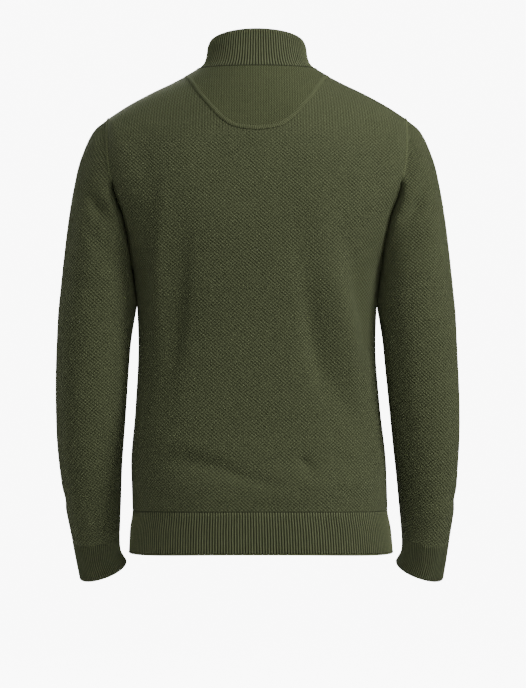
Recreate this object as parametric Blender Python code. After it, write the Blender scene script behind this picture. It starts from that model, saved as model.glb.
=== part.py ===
"""Zip-up cardigan: fine moss-stitch knit with ribbed collar, hem and cuffs.

Metres, +Z up. The garment's front faces -Y and the wearer's left is +X. The origin is the
middle of the neck opening just above the collar seam, where the wearer's neck holds it.
Each cut piece is a wall of knit laid on one smooth worn form, 0.3 mm from its neighbours.

The body form is read by (level, turn). Levels count its landmarks up the garment: -1 lower hem
edge, 0 hem seam, 1 underarm, 2 shoulder tip, 3 neck seam. Turns count quarters round it:
0 left side, 1 centre back, 2 right side, 3 centre front, 4 left side again.
"""
import math
from collections import namedtuple

import bmesh
import bpy
import numpy as np
from mathutils import Matrix, Vector

# ---------------------------------------------------------------- driving sizes
KNIT_WALL = 0.0024
SEAM_GAP = 0.0003
SLEEVE_SEAM_GAP = 0.0005
TINY = 1e-3                  # a small step in level, turn or rise
RING_STEP = 0.02             # a small step in sleeve rings
AROUND_STEP = 0.004          # a small step round a sleeve
HAIR = 1e-9                  # keeps a turn on its own side of a side seam

# ---------------------------------------------------------------- body form
# Heights of each landmark at the side, centre back and centre front, with how square the
# ring is in plan (2 is an ellipse) and how its height bends from side to centre (1 is flat).
Landmark = namedtuple("Landmark", "level side_z back_z front_z squareness bend")
LANDMARKS = [
    Landmark(-1, -0.697, -0.691, -0.698, 2.30, 3.0),
    Landmark(0, -0.637, -0.632, -0.641, 2.30, 2.0),
    Landmark(1, -0.295, -0.295, -0.300, 2.40, 2.0),
    Landmark(2, -0.0751, -0.142, -0.172, 2.30, 2.0),
    Landmark(3, -0.004, -0.005, -0.058, 2.00, 1.0),
]

# Half width of the body between hem and underarm: drawn in at the waist, full over the rib.
Width = namedtuple("Width", "z half_width")
WIDTHS = [
    Width(-0.697, 0.1896),
    Width(-0.665, 0.1873),
    Width(-0.637, 0.1832),
    Width(-0.580, 0.1832),
    Width(-0.486, 0.1750),
    Width(-0.400, 0.1702),
    Width(-0.350, 0.1718),
    Width(-0.295, 0.1775),
]

# The centre lines seen from the side: how far back and how far forward the cloth stands.
Profile = namedtuple("Profile", "z y")
BACK_LINE = [
    Profile(-0.691, 0.121),
    Profile(-0.637, 0.119),
    Profile(-0.600, 0.119),
    Profile(-0.560, 0.110),
    Profile(-0.500, 0.1045),
    Profile(-0.420, 0.105),
    Profile(-0.370, 0.107),
    Profile(-0.300, 0.114),
    Profile(-0.220, 0.118),
    Profile(-0.150, 0.112),
    Profile(-0.090, 0.098),
    Profile(-0.040, 0.079),
    Profile(-0.005, 0.0585),
]
FRONT_LINE = [
    Profile(-0.698, -0.118),
    Profile(-0.641, -0.116),
    Profile(-0.600, -0.118),
    Profile(-0.500, -0.113),
    Profile(-0.420, -0.112),
    Profile(-0.330, -0.119),
    Profile(-0.250, -0.1255),
    Profile(-0.180, -0.122),
    Profile(-0.120, -0.1105),
    Profile(-0.085, -0.0995),
    Profile(-0.058, -0.088),
]

# Below the waist the worn garment leans a little to its right: the shift of x on the way down.
Lean = namedtuple("Lean", "z shift")
LEAN = [
    Lean(-0.740, -0.0066),
    Lean(-0.670, -0.0053),
    Lean(-0.620, -0.0040),
    Lean(-0.560, -0.0022),
    Lean(-0.500, -0.0014),
    Lean(-0.400, 0.0000),
    Lean(-0.300, 0.0000),
]

# The armhole seam is an oval from underarm to shoulder tip; the table gives its x up the seam.
UNDERARM_Z = -0.295
SHOULDER_TIP_Z = -0.0751
ARMHOLE_DEPTH_BACK = 0.067
ARMHOLE_DEPTH_FRONT = -0.070
FRONT_SCOOP = 0.008          # the front armhole is cut this much further in
Armhole = namedtuple("Armhole", "share x")
ARMHOLE = [
    Armhole(0.00, 0.1775),
    Armhole(0.20, 0.1787),
    Armhole(0.40, 0.1885),
    Armhole(0.50, 0.2005),
    Armhole(0.60, 0.2088),
    Armhole(0.70, 0.2123),
    Armhole(0.80, 0.2135),
    Armhole(1.00, 0.2140),
]

SHOULDER_ROUNDING = 0.40     # levels over which the turn from chest to shoulder is rounded
SHOULDER_ROUND_REACH = 0.45  # and how far in from the seams it is rounded in full

# The shoulder seam from shoulder tip to neck.
Shoulder = namedtuple("Shoulder", "x z")
SHOULDER = [
    Shoulder(0.2140, -0.0751),
    Shoulder(0.1850, -0.0563),
    Shoulder(0.1530, -0.0390),
    Shoulder(0.1250, -0.0256),
    Shoulder(0.1030, -0.0142),
    Shoulder(0.0850, -0.0040),
]

# The largest folds of the worn cloth: soft troughs (negative rise) and ridges, each a line of
# given length and width at x, z on the back or front, leaning by tilt degrees from level.
FOLDS_CLEAR_OF_SIDE = 0.05   # folds die out over this much depth next to the side seams
Fold = namedtuple("Fold", "side x z length width tilt rise")
FOLDS = [
    Fold("back", 0.075, -0.567, 0.075, 0.014, 13, -0.0042),
    Fold("back", 0.000, -0.589, 0.050, 0.014, 14, -0.0030),
    Fold("back", -0.068, -0.567, 0.020, 0.011, 42, -0.0034),
    Fold("back", 0.060, -0.604, 0.100, 0.020, 4, 0.0030),
    Fold("back", -0.070, -0.600, 0.100, 0.020, -2, 0.0030),
    Fold("back", -0.122, -0.390, 0.095, 0.020, 79, 0.0065),
    Fold("back", -0.084, -0.405, 0.085, 0.018, 78, -0.0040),
    Fold("back", 0.115, -0.370, 0.085, 0.017, 95, -0.0018),
    Fold("back", 0.142, -0.300, 0.090, 0.014, 93, 0.0030),
    Fold("front", 0.080, -0.575, 0.070, 0.018, 8, -0.0040),
    Fold("front", -0.090, -0.560, 0.060, 0.018, -14, -0.0035),
    Fold("front", 0.120, -0.390, 0.090, 0.018, 84, -0.0035),
    Fold("front", -0.125, -0.370, 0.080, 0.018, 98, -0.0035),
]

# ---------------------------------------------------------------- sleeve form
# Rings down the left sleeve: the outermost and innermost points seen from the front, the
# middle and half of the depth, and how far the ring's back hangs below its middle where the
# arm slants forward. Ring 0 is the armhole; the last three rows are the cuff.
SleeveRing = namedtuple("SleeveRing", "out_x out_z in_x in_z mid_y half_depth drop")
SLEEVE = [
    SleeveRing(0.2140, -0.0751, 0.1775, -0.2950, 0.0000, 0.0685, 0.0000),
    SleeveRing(0.2357, -0.0945, 0.1773, -0.3030, 0.0000, 0.0690, 0.0000),
    SleeveRing(0.2535, -0.134, 0.1764, -0.3110, 0.0010, 0.0690, 0.0000),
    SleeveRing(0.2625, -0.172, 0.1752, -0.3200, 0.0030, 0.0680, 0.0000),
    SleeveRing(0.2695, -0.214, 0.1740, -0.3310, 0.0060, 0.0665, 0.0000),
    SleeveRing(0.2752, -0.260, 0.1730, -0.3450, 0.0090, 0.0650, 0.0000),
    SleeveRing(0.2805, -0.312, 0.1763, -0.3660, 0.0120, 0.0630, 0.0000),
    SleeveRing(0.2850, -0.368, 0.1808, -0.3960, 0.0140, 0.0610, 0.0000),
    SleeveRing(0.2880, -0.425, 0.1845, -0.4370, 0.0140, 0.0590, 0.0010),
    SleeveRing(0.2896, -0.480, 0.1886, -0.4840, 0.0110, 0.0565, 0.0035),
    SleeveRing(0.2893, -0.535, 0.1930, -0.5310, 0.0040, 0.0535, 0.0065),
    SleeveRing(0.2860, -0.589, 0.1976, -0.5770, -0.0060, 0.0500, 0.0090),
    SleeveRing(0.2806, -0.638, 0.2014, -0.6250, -0.0180, 0.0450, 0.0110),
    SleeveRing(0.2741, -0.681, 0.2049, -0.6720, -0.0295, 0.0400, 0.0120),
    SleeveRing(0.2700, -0.709, 0.2045, -0.7010, -0.0365, 0.0365, 0.0118),
    SleeveRing(0.2653, -0.738, 0.1965, -0.7175, -0.0425, 0.0355, 0.0115),
]
CUFF_RING = 13.0             # the ring on which the cuff is sewn
LAST_RING = 15.0
ARMHOLE_REACH = 3.0          # rings over which the armhole's own shape fades out
SLEEVE_START = 0.3           # rings over which the sleeve's first direction is taken
SLEEVE_SQUARENESS = 2.1

# ---------------------------------------------------------------- collar, patch and zip
CollarRing = namedtuple("CollarRing", "rise side_x side_z back_y back_z front_y front_z")
COLLAR = [
    CollarRing(0.0, 0.0850, -0.0040, 0.0585, -0.0050, -0.0880, -0.0580),
    CollarRing(0.2, 0.0760, 0.0045, 0.0545, 0.0060, -0.0855, -0.0475),
    CollarRing(0.5, 0.0723, 0.0155, 0.0505, 0.0225, -0.0815, -0.0300),
    CollarRing(0.8, 0.0708, 0.0265, 0.0482, 0.0388, -0.0780, -0.0135),
    CollarRing(1.0, 0.0682, 0.0330, 0.0466, 0.0497, -0.0755, -0.0030),
]

# The patch's lower edge, as levels at turns from the shoulder seam to the centre back.
PatchEdge = namedtuple("PatchEdge", "turn level")
PATCH_EDGE = [
    PatchEdge(0.00, 2.822),
    PatchEdge(0.26, 2.796),
    PatchEdge(0.43, 2.722),
    PatchEdge(0.60, 2.608),
    PatchEdge(0.72, 2.514),
    PatchEdge(0.83, 2.407),
    PatchEdge(0.90, 2.351),
    PatchEdge(1.00, 2.325),
]
PATCH_LIFT = 0.0005
PATCH_THICKNESS = 0.0012

# The zip is read by stage: -1 to 3 are the body's levels and 3 to 4 the rise of the collar.
# Depths are measured inwards from the outer face of the cloth at the centre front.
ZIP_OPENING = 0.0065         # half the gap between the fronts
TAPE_INNER_X = 0.0033
TAPE_OUTER_X = 0.0150
TAPE_DEPTH = KNIT_WALL + 0.0005
TAPE_THICKNESS = 0.0009
TAPE_BOTTOM_STAGE = -0.99
TAPE_TOP_STAGE = 3.985
CHAIN_INNER_X = 0.00015
CHAIN_OUTER_X = 0.0030
CHAIN_DEPTH = 0.0020
CHAIN_THICKNESS = 0.0023
CHAIN_BOTTOM_STAGE = -0.795
CHAIN_TOP_STAGE = 3.80
BOX_BOTTOM_STAGE = -0.98
BOX_TOP_STAGE = -0.80
BOX_HALF_WIDTH = 0.0030
STAGE_STEP = 0.01            # rows of a zip piece are at least this far apart
SLIDER_REACH = 0.2           # stages below the slider over which the zip's slope is taken

SLIDER_LENGTH = 0.010
SLIDER_HALF_WIDTH = 0.0042
SLIDER_DROP = 0.0015         # the slider's middle lies this far below the top of the teeth
SLIDER_FRONT = (0.0003, 0.0017)
SLIDER_REAR = (0.0046, 0.0058)
SLIDER_ROUNDING = 0.0015     # at the corners of its plates
METAL_OVERLAP = 0.0002       # how far the slider's parts run into each other to be one casting
POST_HALF_WIDTH = 0.0016
POST_LENGTH = 0.0030
STOP_HEIGHT = 0.0025
STOP_GAP = 0.0004

# The bridge on the slider's face holds the pull tab's bar. Heights are from the slider's middle.
BRIDGE_HALF_WIDTH = 0.0009
BRIDGE_WALL = 0.0008
BRIDGE_LOW = -0.0045
BRIDGE_HIGH = 0.0020
PIVOT_HEIGHT = -0.0024
PIVOT_STAND_OFF = 0.0008     # how far the pivot stands out from the cloth's outer face
BAR_HALF = 0.00065
BRIDGE_CLEARANCE = 0.0011    # from the pivot to the slider's face and to the bridge above it
TAB_LENGTH = 0.026
TAB_HALF_WIDTH = 0.0028
TAB_HOLE_HALF_WIDTH = 0.0014
TAB_HOLE_END = 0.0052
TAB_EDGE = 0.0003            # the tab's edges are taken off by this much

# ---------------------------------------------------------------- mesh densities
BODY_ROWS = 8
ARMHOLE_ROWS = 10
SHOULDER_ROWS = 5
HEM_ROWS = 2
QUARTER_COLUMNS = 11
SLEEVE_ROWS = 13
CUFF_ROWS = 2
COLLAR_ROWS = 3

OLIVE = (0.078, 0.085, 0.042, 1.0)
OLIVE_RIB = (0.085, 0.091, 0.046, 1.0)
TAPE_COLOUR = (0.045, 0.048, 0.028, 1.0)
METAL_COLOUR = (0.30, 0.29, 0.26, 1.0)


# ---------------------------------------------------------------- curves through tables
def spread(first, last, share):
    return first + (last - first) * share


def column(table, name):
    """One named column of a table as an array."""
    return np.array([getattr(row, name) for row in table])


def smooth(stations, values, at):
    """A smooth curve through values at rising stations that never overshoots them."""
    stations = np.asarray(stations, dtype=float)
    values = np.asarray(values, dtype=float)
    steps = np.diff(stations)
    slopes = np.diff(values) / steps
    tangents = np.zeros(len(values))
    tangents[0] = slopes[0]
    tangents[-1] = slopes[-1]
    for i in range(1, len(values) - 1):
        if slopes[i - 1] * slopes[i] > 0:
            before = 2 * steps[i] + steps[i - 1]
            after = steps[i] + 2 * steps[i - 1]
            tangents[i] = (before + after) / (before / slopes[i - 1] + after / slopes[i])
    at = min(max(at, stations[0]), stations[-1])
    i = min(int(np.searchsorted(stations, at, side="right")) - 1, len(steps) - 1)
    t = (at - stations[i]) / steps[i]
    rise = values[i] * (1 + 2 * t) * (1 - t) ** 2 + values[i + 1] * t * t * (3 - 2 * t)
    bend = tangents[i] * t * (1 - t) ** 2 - tangents[i + 1] * t * t * (1 - t)
    return float(rise + bend * steps[i])


def flowing(values, at):
    """A smooth curve through evenly numbered values, for the rows of a table."""
    count = len(values)
    at = min(max(at, 0.0), count - 1.0)
    i = min(int(at), count - 2)
    t = at - i
    first, last = values[i], values[i + 1]
    before = values[i - 1] if i > 0 else 2 * first - last
    after = values[i + 2] if i + 2 < count else 2 * last - first
    return float(
        0.5 * (2 * first + (last - before) * t
               + (2 * before - 5 * first + 4 * last - after) * t ** 2
               + (3 * first - before - 3 * last + after) * t ** 3)
    )


def row_at(table, at):
    """The table's row at a fractional row number, column by column."""
    kind = type(table[0])
    return kind(*[flowing(column(table, name), at) for name in kind._fields])


def lean_shift(z):
    """The shift of x at a height of the worn garment."""
    return smooth(column(LEAN, "z"), column(LEAN, "shift"), z)


# ---------------------------------------------------------------- the body form
def landmark(name, level):
    """One of the landmark columns at any level."""
    return smooth(column(LANDMARKS, "level"), column(LANDMARKS, name), level)


def edge_of_quarter(level, back):
    """The outer end of a quarter row: side seam, armhole or shoulder seam."""
    if level <= 1.0:
        z = landmark("side_z", level)
        return smooth(column(WIDTHS, "z"), column(WIDTHS, "half_width"), z), 0.0, z
    if level < 2.0:
        share = level - 1.0
        round_oval = math.pi * share
        x = smooth(column(ARMHOLE, "share"), column(ARMHOLE, "x"), share)
        z = spread(UNDERARM_Z, SHOULDER_TIP_Z, (1.0 - math.cos(round_oval)) / 2)
        y = (ARMHOLE_DEPTH_BACK if back else ARMHOLE_DEPTH_FRONT) * math.sin(round_oval)
        scoop = 0.0 if back else FRONT_SCOOP * math.sin(round_oval) ** 2
        return x - scoop, y, z
    row = row_at(SHOULDER, (level - 2.0) * (len(SHOULDER) - 1))
    return row.x, 0.0, row.z


def quarter(level, reach, back):
    """A point on the left half of the body: reach 0 at its edge, 1 at the centre line."""
    edge_x, edge_y, edge_z = edge_of_quarter(level, back)
    power = 2.0 / landmark("squareness", level)
    centre_z = landmark("back_z" if back else "front_z", level)
    line = BACK_LINE if back else FRONT_LINE
    centre_y = smooth(column(line, "z"), column(line, "y"), centre_z)
    start = math.asin(min(1.0, edge_y / centre_y) ** (1.0 / power))
    angle = start + (math.pi / 2 - start) * reach
    across = max(math.cos(angle), 0.0) ** power / math.cos(start) ** power
    first_turn = math.sin(start) ** power
    turned = (math.sin(angle) ** power - first_turn) / (1.0 - first_turn)
    z = edge_z + (centre_z - edge_z) * turned ** landmark("bend", level)
    return Vector((edge_x * across, edge_y + (centre_y - edge_y) * turned, z))


def rounded_quarter(level, reach, back):
    """The same point with the turn from chest to shoulder rounded off, save at the seams."""
    inside = min(1.0, max(0.0, reach / SHOULDER_ROUND_REACH))
    inside = inside * inside * (3 - 2 * inside)
    above = min(max(level - 1.0, 0.0), 2.0)
    span = SHOULDER_ROUNDING * inside * math.sin(math.pi * above / 2) ** 2
    if span < TINY:
        return quarter(level, reach, back)
    total = Vector((0.0, 0.0, 0.0))
    weights = (1.0, 2.0, 3.0, 2.0, 1.0)
    for number, weight in enumerate(weights):
        step = span * (number - 2) / 2
        total += quarter(level + step, reach, back) * (weight / sum(weights))
    return total


def fold_rise(point):
    """How far the folds lift the cloth out, in metres, at a point of the body."""
    side = "back" if point.y > 0 else "front"
    total = 0.0
    for fold in FOLDS:
        if fold.side != side:
            continue
        lean = math.radians(fold.tilt)
        dx = point.x - fold.x
        dz = point.z - fold.z
        along = dx * math.cos(lean) + dz * math.sin(lean)
        beside = dz * math.cos(lean) - dx * math.sin(lean)
        reach = 2 * (along / fold.length) ** 2 + (beside / fold.width) ** 2
        total += fold.rise * math.exp(-reach)
    return total * min(1.0, abs(point.y) / FOLDS_CLEAR_OF_SIDE)


def body_point(level, turn):
    """The outer face of the body at a level and a turn in quarters from the left side."""
    turn = turn % 4.0
    back = turn <= 2.0
    half_turn = turn if back else 4.0 - turn
    reach = half_turn if half_turn <= 1.0 else 2.0 - half_turn
    point = rounded_quarter(level, reach, back)
    if half_turn > 1.0:
        point.x = -point.x
    centre = Vector((0.0, 0.0, point.z))
    outward = (point - centre).normalized()
    point = point + outward * fold_rise(point)
    point.x += lean_shift(point.z)
    return point


def body_normal(level, turn):
    """The outward direction of the body's cloth, the same for both pieces at a seam."""
    at_edge = min(turn % 2.0, 2.0 - turn % 2.0) < 2 * TINY
    low, high = level - TINY, level + TINY
    if at_edge and abs(level - 1.0) < 2 * TINY:
        high = level
    if at_edge and abs(level - 2.0) < 2 * TINY:
        low = level
    low = max(low, -1.0)
    high = min(high, 3.0)
    before, after = turn - TINY, turn + TINY
    if at_edge and 1.0 + 2 * TINY < level < 2.0 - 2 * TINY:
        nearest = round(turn / 2.0) * 2.0
        if turn >= nearest:
            before, after = nearest + TINY, nearest + 3 * TINY
        else:
            before, after = nearest - 3 * TINY, nearest - TINY
    around = body_point(level, after) - body_point(level, before)
    upward = body_point(high, turn) - body_point(low, turn)
    return around.cross(upward).normalized()


# ---------------------------------------------------------------- the sleeve form
def ring_point(ring, around):
    """A point of a sleeve ring: around 0 underarm, 0.25 back, 0.5 outside, 0.75 front."""
    angle = 2 * math.pi * around
    power = 2.0 / SLEEVE_SQUARENESS
    inward = math.copysign(abs(math.cos(angle)) ** power, math.cos(angle))
    backward = math.copysign(abs(math.sin(angle)) ** power, math.sin(angle))
    x = (ring.out_x + ring.in_x) / 2 - inward * (ring.out_x - ring.in_x) / 2
    z = (ring.out_z + ring.in_z) / 2 - inward * (ring.out_z - ring.in_z) / 2
    return Vector((x, ring.mid_y + backward * ring.half_depth, z - backward * ring.drop))


def armhole_point(around):
    """A point of the body's armhole edge, counted round it as a sleeve ring is."""
    around = around % 1.0
    back = around <= 0.5
    height = 2 * around if back else 2 - 2 * around
    return body_point(1.0 + height, 0.0 if back else 4.0 - HAIR)


def way_off_armhole(around):
    """The direction that carries on the body's cloth past its armhole edge."""
    back = around <= 0.5
    height = 2 * around if back else 2 - 2 * around
    inside = 2 * TINY if TINY < height < 1.0 - TINY else 0.0
    normal = body_normal(1.0 + height, inside if back else 4.0 - inside)
    ahead = armhole_point(around + AROUND_STEP)
    behind = armhole_point(around - AROUND_STEP)
    return normal.cross(ahead - behind).normalized()


def sleeve_point(ring_number, around):
    """The outer face of the left sleeve; ring 0 is the armhole seam, moved off by the gap."""
    around = around % 1.0
    point = ring_point(row_at(SLEEVE, ring_number), around)
    if ring_number < ARMHOLE_REACH:
        fade = (1.0 - ring_number / ARMHOLE_REACH) ** 2
        start = armhole_point(around) + way_off_armhole(around) * SLEEVE_SEAM_GAP
        point = point + (start - ring_point(row_at(SLEEVE, 0.0), around)) * fade
    return point


def sleeve_along(ring_number, around):
    """The direction down the sleeve."""
    low = max(ring_number - RING_STEP, 0.0)
    high = min(ring_number + RING_STEP, LAST_RING)
    if ring_number < RING_STEP:
        high = SLEEVE_START
    return (sleeve_point(high, around) - sleeve_point(low, around)).normalized()


def sleeve_normal(ring_number, around):
    """The sleeve's outward direction; at the armhole its wall keeps off the body's edge."""
    ahead = sleeve_point(ring_number, around + AROUND_STEP)
    behind = sleeve_point(ring_number, around - AROUND_STEP)
    normal = (ahead - behind).cross(sleeve_along(ring_number, around)).normalized()
    if ring_number < RING_STEP:
        away = way_off_armhole(around % 1.0)
        normal = (normal - away * max(0.0, normal.dot(away))).normalized()
    return normal


# ---------------------------------------------------------------- the collar form
def collar_point(rise, turn):
    """The outer face of the stand collar, rise 0 at the neck seam and 1 at its top edge."""
    values = {}
    for name in CollarRing._fields[1:]:
        values[name] = smooth(column(COLLAR, "rise"), column(COLLAR, name), rise)
    angle = turn * math.pi / 2
    back = math.sin(angle) >= 0
    turned = abs(math.sin(angle))
    centre_y = values["back_y"] if back else values["front_y"]
    centre_z = values["back_z"] if back else values["front_z"]
    z = values["side_z"] + (centre_z - values["side_z"]) * turned
    return Vector((values["side_x"] * math.cos(angle), centre_y * turned, z))


def collar_normal(rise, turn):
    """The collar's outward direction."""
    around = collar_point(rise, turn + TINY) - collar_point(rise, turn - TINY)
    upward = collar_point(min(rise + TINY, 1.0), turn) - collar_point(max(rise - TINY, 0.0), turn)
    return around.cross(upward).normalized()


# ---------------------------------------------------------------- making pieces
def material(name, colour, roughness, metallic=0.0):
    made = bpy.data.materials.new(name)
    made.use_nodes = True
    shader = made.node_tree.nodes["Principled BSDF"]
    shader.inputs["Base Color"].default_value = colour
    shader.inputs["Roughness"].default_value = roughness
    shader.inputs["Metallic"].default_value = metallic
    return made


def finish_object(name, bm, finish, sharp_degrees=40):
    mesh = bpy.data.meshes.new(name)
    bm.to_mesh(mesh)
    bm.free()
    mesh.materials.append(finish)
    mesh.shade_smooth()
    mesh.set_sharp_from_angle(angle=math.radians(sharp_degrees))
    made = bpy.data.objects.new(name, mesh)
    bpy.context.scene.collection.objects.link(made)
    return made


def laid_wall(name, face, columns, rows, finish, welded=False):
    """A piece of cloth: a flat grid laid on a form, then given its wall.

    face(u, v, inner) gives the outer or inner face, u and v from 0 to 1 across and up the piece.
    A welded piece has the points that meet joined, as at the seam of a tube.
    """
    bm = bmesh.new()
    across = bm.verts.layers.float.new("across")
    up = bm.verts.layers.float.new("up")
    bmesh.ops.create_grid(bm, x_segments=columns, y_segments=rows, size=0.5)
    for vert in bm.verts:
        vert[across] = vert.co.x + 0.5
        vert[up] = vert.co.y + 0.5
        vert.co = face(vert[across], vert[up], False)
    if welded:
        bmesh.ops.remove_doubles(bm, verts=bm.verts[:], dist=1e-6)
    outer = set(bm.verts)
    bmesh.ops.extrude_face_region(bm, geom=bm.faces[:], use_keep_orig=True)
    for vert in bm.verts:
        if vert not in outer:
            vert.co = face(vert[across], vert[up], True)
    bmesh.ops.recalc_face_normals(bm, faces=bm.faces[:])
    return finish_object(name, bm, finish)


def body_levels():
    """Levels of the rows from hem seam to neck, as many as the densities say."""
    below = [i / BODY_ROWS for i in range(BODY_ROWS)]
    armhole = [1.0 + i / ARMHOLE_ROWS for i in range(ARMHOLE_ROWS)]
    shoulder = [2.0 + i / SHOULDER_ROWS for i in range(SHOULDER_ROWS + 1)]
    return below + armhole + shoulder


def zip_reach(level, half_width):
    """The reach at which a front row stands half_width from the centre line."""
    edge_x, edge_y, _ = edge_of_quarter(level, False)
    power = 2.0 / landmark("squareness", level)
    centre_z = landmark("front_z", level)
    centre_y = smooth(column(FRONT_LINE, "z"), column(FRONT_LINE, "y"), centre_z)
    start = math.asin(min(1.0, edge_y / centre_y) ** (1.0 / power))
    angle = math.acos((half_width / edge_x) ** (1.0 / power) * math.cos(start))
    return (angle - start) / (math.pi / 2 - start)


def panel_face(levels, first_turn, last_turn, low_trim, high_trim):
    """The faces of a body panel between two turns; trims shorten it at its ends for seams."""
    def face(u, v, inner):
        row = int(round(v * (len(levels) - 1)))
        level = levels[row]
        first = first_turn(level)
        last = last_turn(level)
        turn = spread(first, last, u)
        point = body_point(level, turn)
        normal = body_normal(level, turn)
        if row == 0:
            point = point + body_up(level, turn) * low_trim
        if row == len(levels) - 1:
            point = point - body_up(level, turn) * high_trim
        on_seam = level <= 1.0 + TINY or level >= 2.0 - TINY
        if on_seam and abs(turn / 2.0 - round(turn / 2.0)) < TINY:
            point.y += SEAM_GAP / 2 if (first + last) / 2 < 2.0 else -SEAM_GAP / 2
        if inner:
            point = point - normal * KNIT_WALL
        return point
    return face


def body_up(level, turn):
    """The direction up the cloth at a point of the body."""
    low = max(level - TINY, -1.0)
    high = min(level + TINY, 3.0)
    return (body_point(high, turn) - body_point(low, turn)).normalized()


def build_body(knit, rib):
    levels = body_levels()
    hem = [-1.0 + i / HEM_ROWS for i in range(HEM_ROWS + 1)]
    full = 2 * QUARTER_COLUMNS
    pieces = {
        "back": (0.0, 2.0 - HAIR, full),
        "front_right": (2.0 + HAIR, None, QUARTER_COLUMNS),
        "front_left": (None, 4.0 - HAIR, QUARTER_COLUMNS),
    }
    for name, (first, last, columns) in pieces.items():
        def first_turn(level, fixed=first):
            return 4.0 - zip_reach(level, ZIP_OPENING) if fixed is None else fixed

        def last_turn(level, fixed=last):
            return 2.0 + zip_reach(level, ZIP_OPENING) if fixed is None else fixed

        half_gap = SEAM_GAP / 2
        body = panel_face(levels, first_turn, last_turn, half_gap, half_gap)
        laid_wall(name, body, columns, len(levels) - 1, knit)
        band = panel_face(hem, first_turn, last_turn, 0.0, half_gap)
        laid_wall("hem_" + name, band, columns, HEM_ROWS, rib)


def sleeve_face(first_ring, last_ring, low_trim, high_trim, mirror):
    def face(u, v, inner):
        ring = spread(first_ring, last_ring, v)
        point = sleeve_point(ring, u)
        if v < TINY:
            point = point + sleeve_along(ring, u) * low_trim
        if v > 1 - TINY:
            point = point - sleeve_along(ring, u) * high_trim
        if inner:
            point = point - sleeve_normal(ring, u) * KNIT_WALL
        if mirror:
            point.x = -point.x
        point.x += lean_shift(point.z)
        return point
    return face


def build_sleeves(knit, rib):
    half_gap = SEAM_GAP / 2
    for side, mirror in (("left", False), ("right", True)):
        sleeve = sleeve_face(0.0, CUFF_RING, 0.0, half_gap, mirror)
        laid_wall("sleeve_" + side, sleeve, 2 * ARMHOLE_ROWS, SLEEVE_ROWS, knit, welded=True)
        cuff = sleeve_face(CUFF_RING, LAST_RING, half_gap, 0.0, mirror)
        laid_wall("cuff_" + side, cuff, 2 * ARMHOLE_ROWS, CUFF_ROWS, rib, welded=True)


def build_collar(rib):
    """One ribbed band round the neck, open at the zip, standing on the neck seam."""
    def face(u, v, inner):
        rise = v
        side_x = smooth(column(COLLAR, "rise"), column(COLLAR, "side_x"), rise)
        front_reach = math.acos(ZIP_OPENING / side_x) / (math.pi / 2)
        quarters = 4.0 * u
        if quarters < 1.0:
            turn = spread(-front_reach, 0.0, quarters)
        elif quarters > 3.0:
            turn = spread(2.0, 2.0 + front_reach, quarters - 3.0)
        else:
            turn = quarters - 1.0
        point = collar_point(rise, turn)
        normal = collar_normal(rise, turn)
        if v < TINY:
            up = (collar_point(TINY, turn) - collar_point(0.0, turn)).normalized()
            point = point + up * SEAM_GAP
        if inner:
            point = point - normal * KNIT_WALL
        return point
    laid_wall("collar", face, 4 * QUARTER_COLUMNS, COLLAR_ROWS, rib)


def patch_level(turn):
    """The level of the half-moon patch's lower edge at a turn across the back."""
    return smooth(column(PATCH_EDGE, "turn"), column(PATCH_EDGE, "level"), min(turn, 2.0 - turn))


def on_column(level, turn):
    """A point and normal on the back panel's own straight mesh edge between two of its rows."""
    row = (level - 2.0) * SHOULDER_ROWS
    low = 2.0 + min(int(row + TINY), SHOULDER_ROWS - 1) / SHOULDER_ROWS
    high = low + 1.0 / SHOULDER_ROWS
    share = (level - low) * SHOULDER_ROWS
    point = body_point(low, turn).lerp(body_point(high, turn), share)
    normal = body_normal(low, turn).lerp(body_normal(high, turn), share).normalized()
    return point, normal


def build_patch(knit):
    """The half-moon patch at the back neck: the back's own points, moved out.

    Rows of the back that lie below the patch's edge are drawn up onto it and welded.
    """
    def face(u, v, inner):
        turn = 2.0 * u
        level = max(spread(2.0, 3.0, v), patch_level(turn))
        point, normal = on_column(level, turn)
        lift = PATCH_LIFT if inner else PATCH_LIFT + PATCH_THICKNESS
        point = point + normal * lift
        if turn < TINY or turn > 2.0 - TINY:
            point.y += 2 * SEAM_GAP
        if v > 1 - TINY:
            point = point - body_up(level, turn) * SEAM_GAP
        return point
    laid_wall("neck_patch", face, 2 * QUARTER_COLUMNS, SHOULDER_ROWS, knit, welded=True)


# ---------------------------------------------------------------- the zip
def front_at(stage, x):
    """The outer face of the cloth and its outward direction at a stage of the zip."""
    if stage <= 3.0:
        reach = zip_reach(stage, abs(x))
        turn = 4.0 - reach if x > 0 else 2.0 + reach
        return body_point(stage, turn), body_normal(stage, turn)
    rise = stage - 3.0
    side_x = smooth(column(COLLAR, "rise"), column(COLLAR, "side_x"), rise)
    turn = 3.0 + math.asin(x / side_x) / (math.pi / 2)
    return collar_point(rise, turn), collar_normal(rise, turn)


def zip_stages(bottom, top):
    """The stages of the cloth's own rows between two ends of a zip piece."""
    rows = [-1.0 + i / HEM_ROWS for i in range(HEM_ROWS)]
    rows += body_levels()
    rows += [3.0 + i / COLLAR_ROWS for i in range(1, COLLAR_ROWS + 1)]
    between = [row for row in rows if bottom + STAGE_STEP < row < top - STAGE_STEP]
    return [bottom] + between + [top]


def zip_strip(name, inner_x, outer_x, depth, thickness, bottom, top, finish):
    """A strip that follows the centre front behind the cloth, from one x to another."""
    stages = zip_stages(bottom, top)

    def face(u, v, inner):
        stage = stages[int(round(v * (len(stages) - 1)))]
        x = spread(inner_x, outer_x, u)
        point, normal = front_at(stage, x)
        return point - normal * (depth + thickness if inner else depth)
    return laid_wall(name, face, 1, len(stages) - 1, finish)


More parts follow.
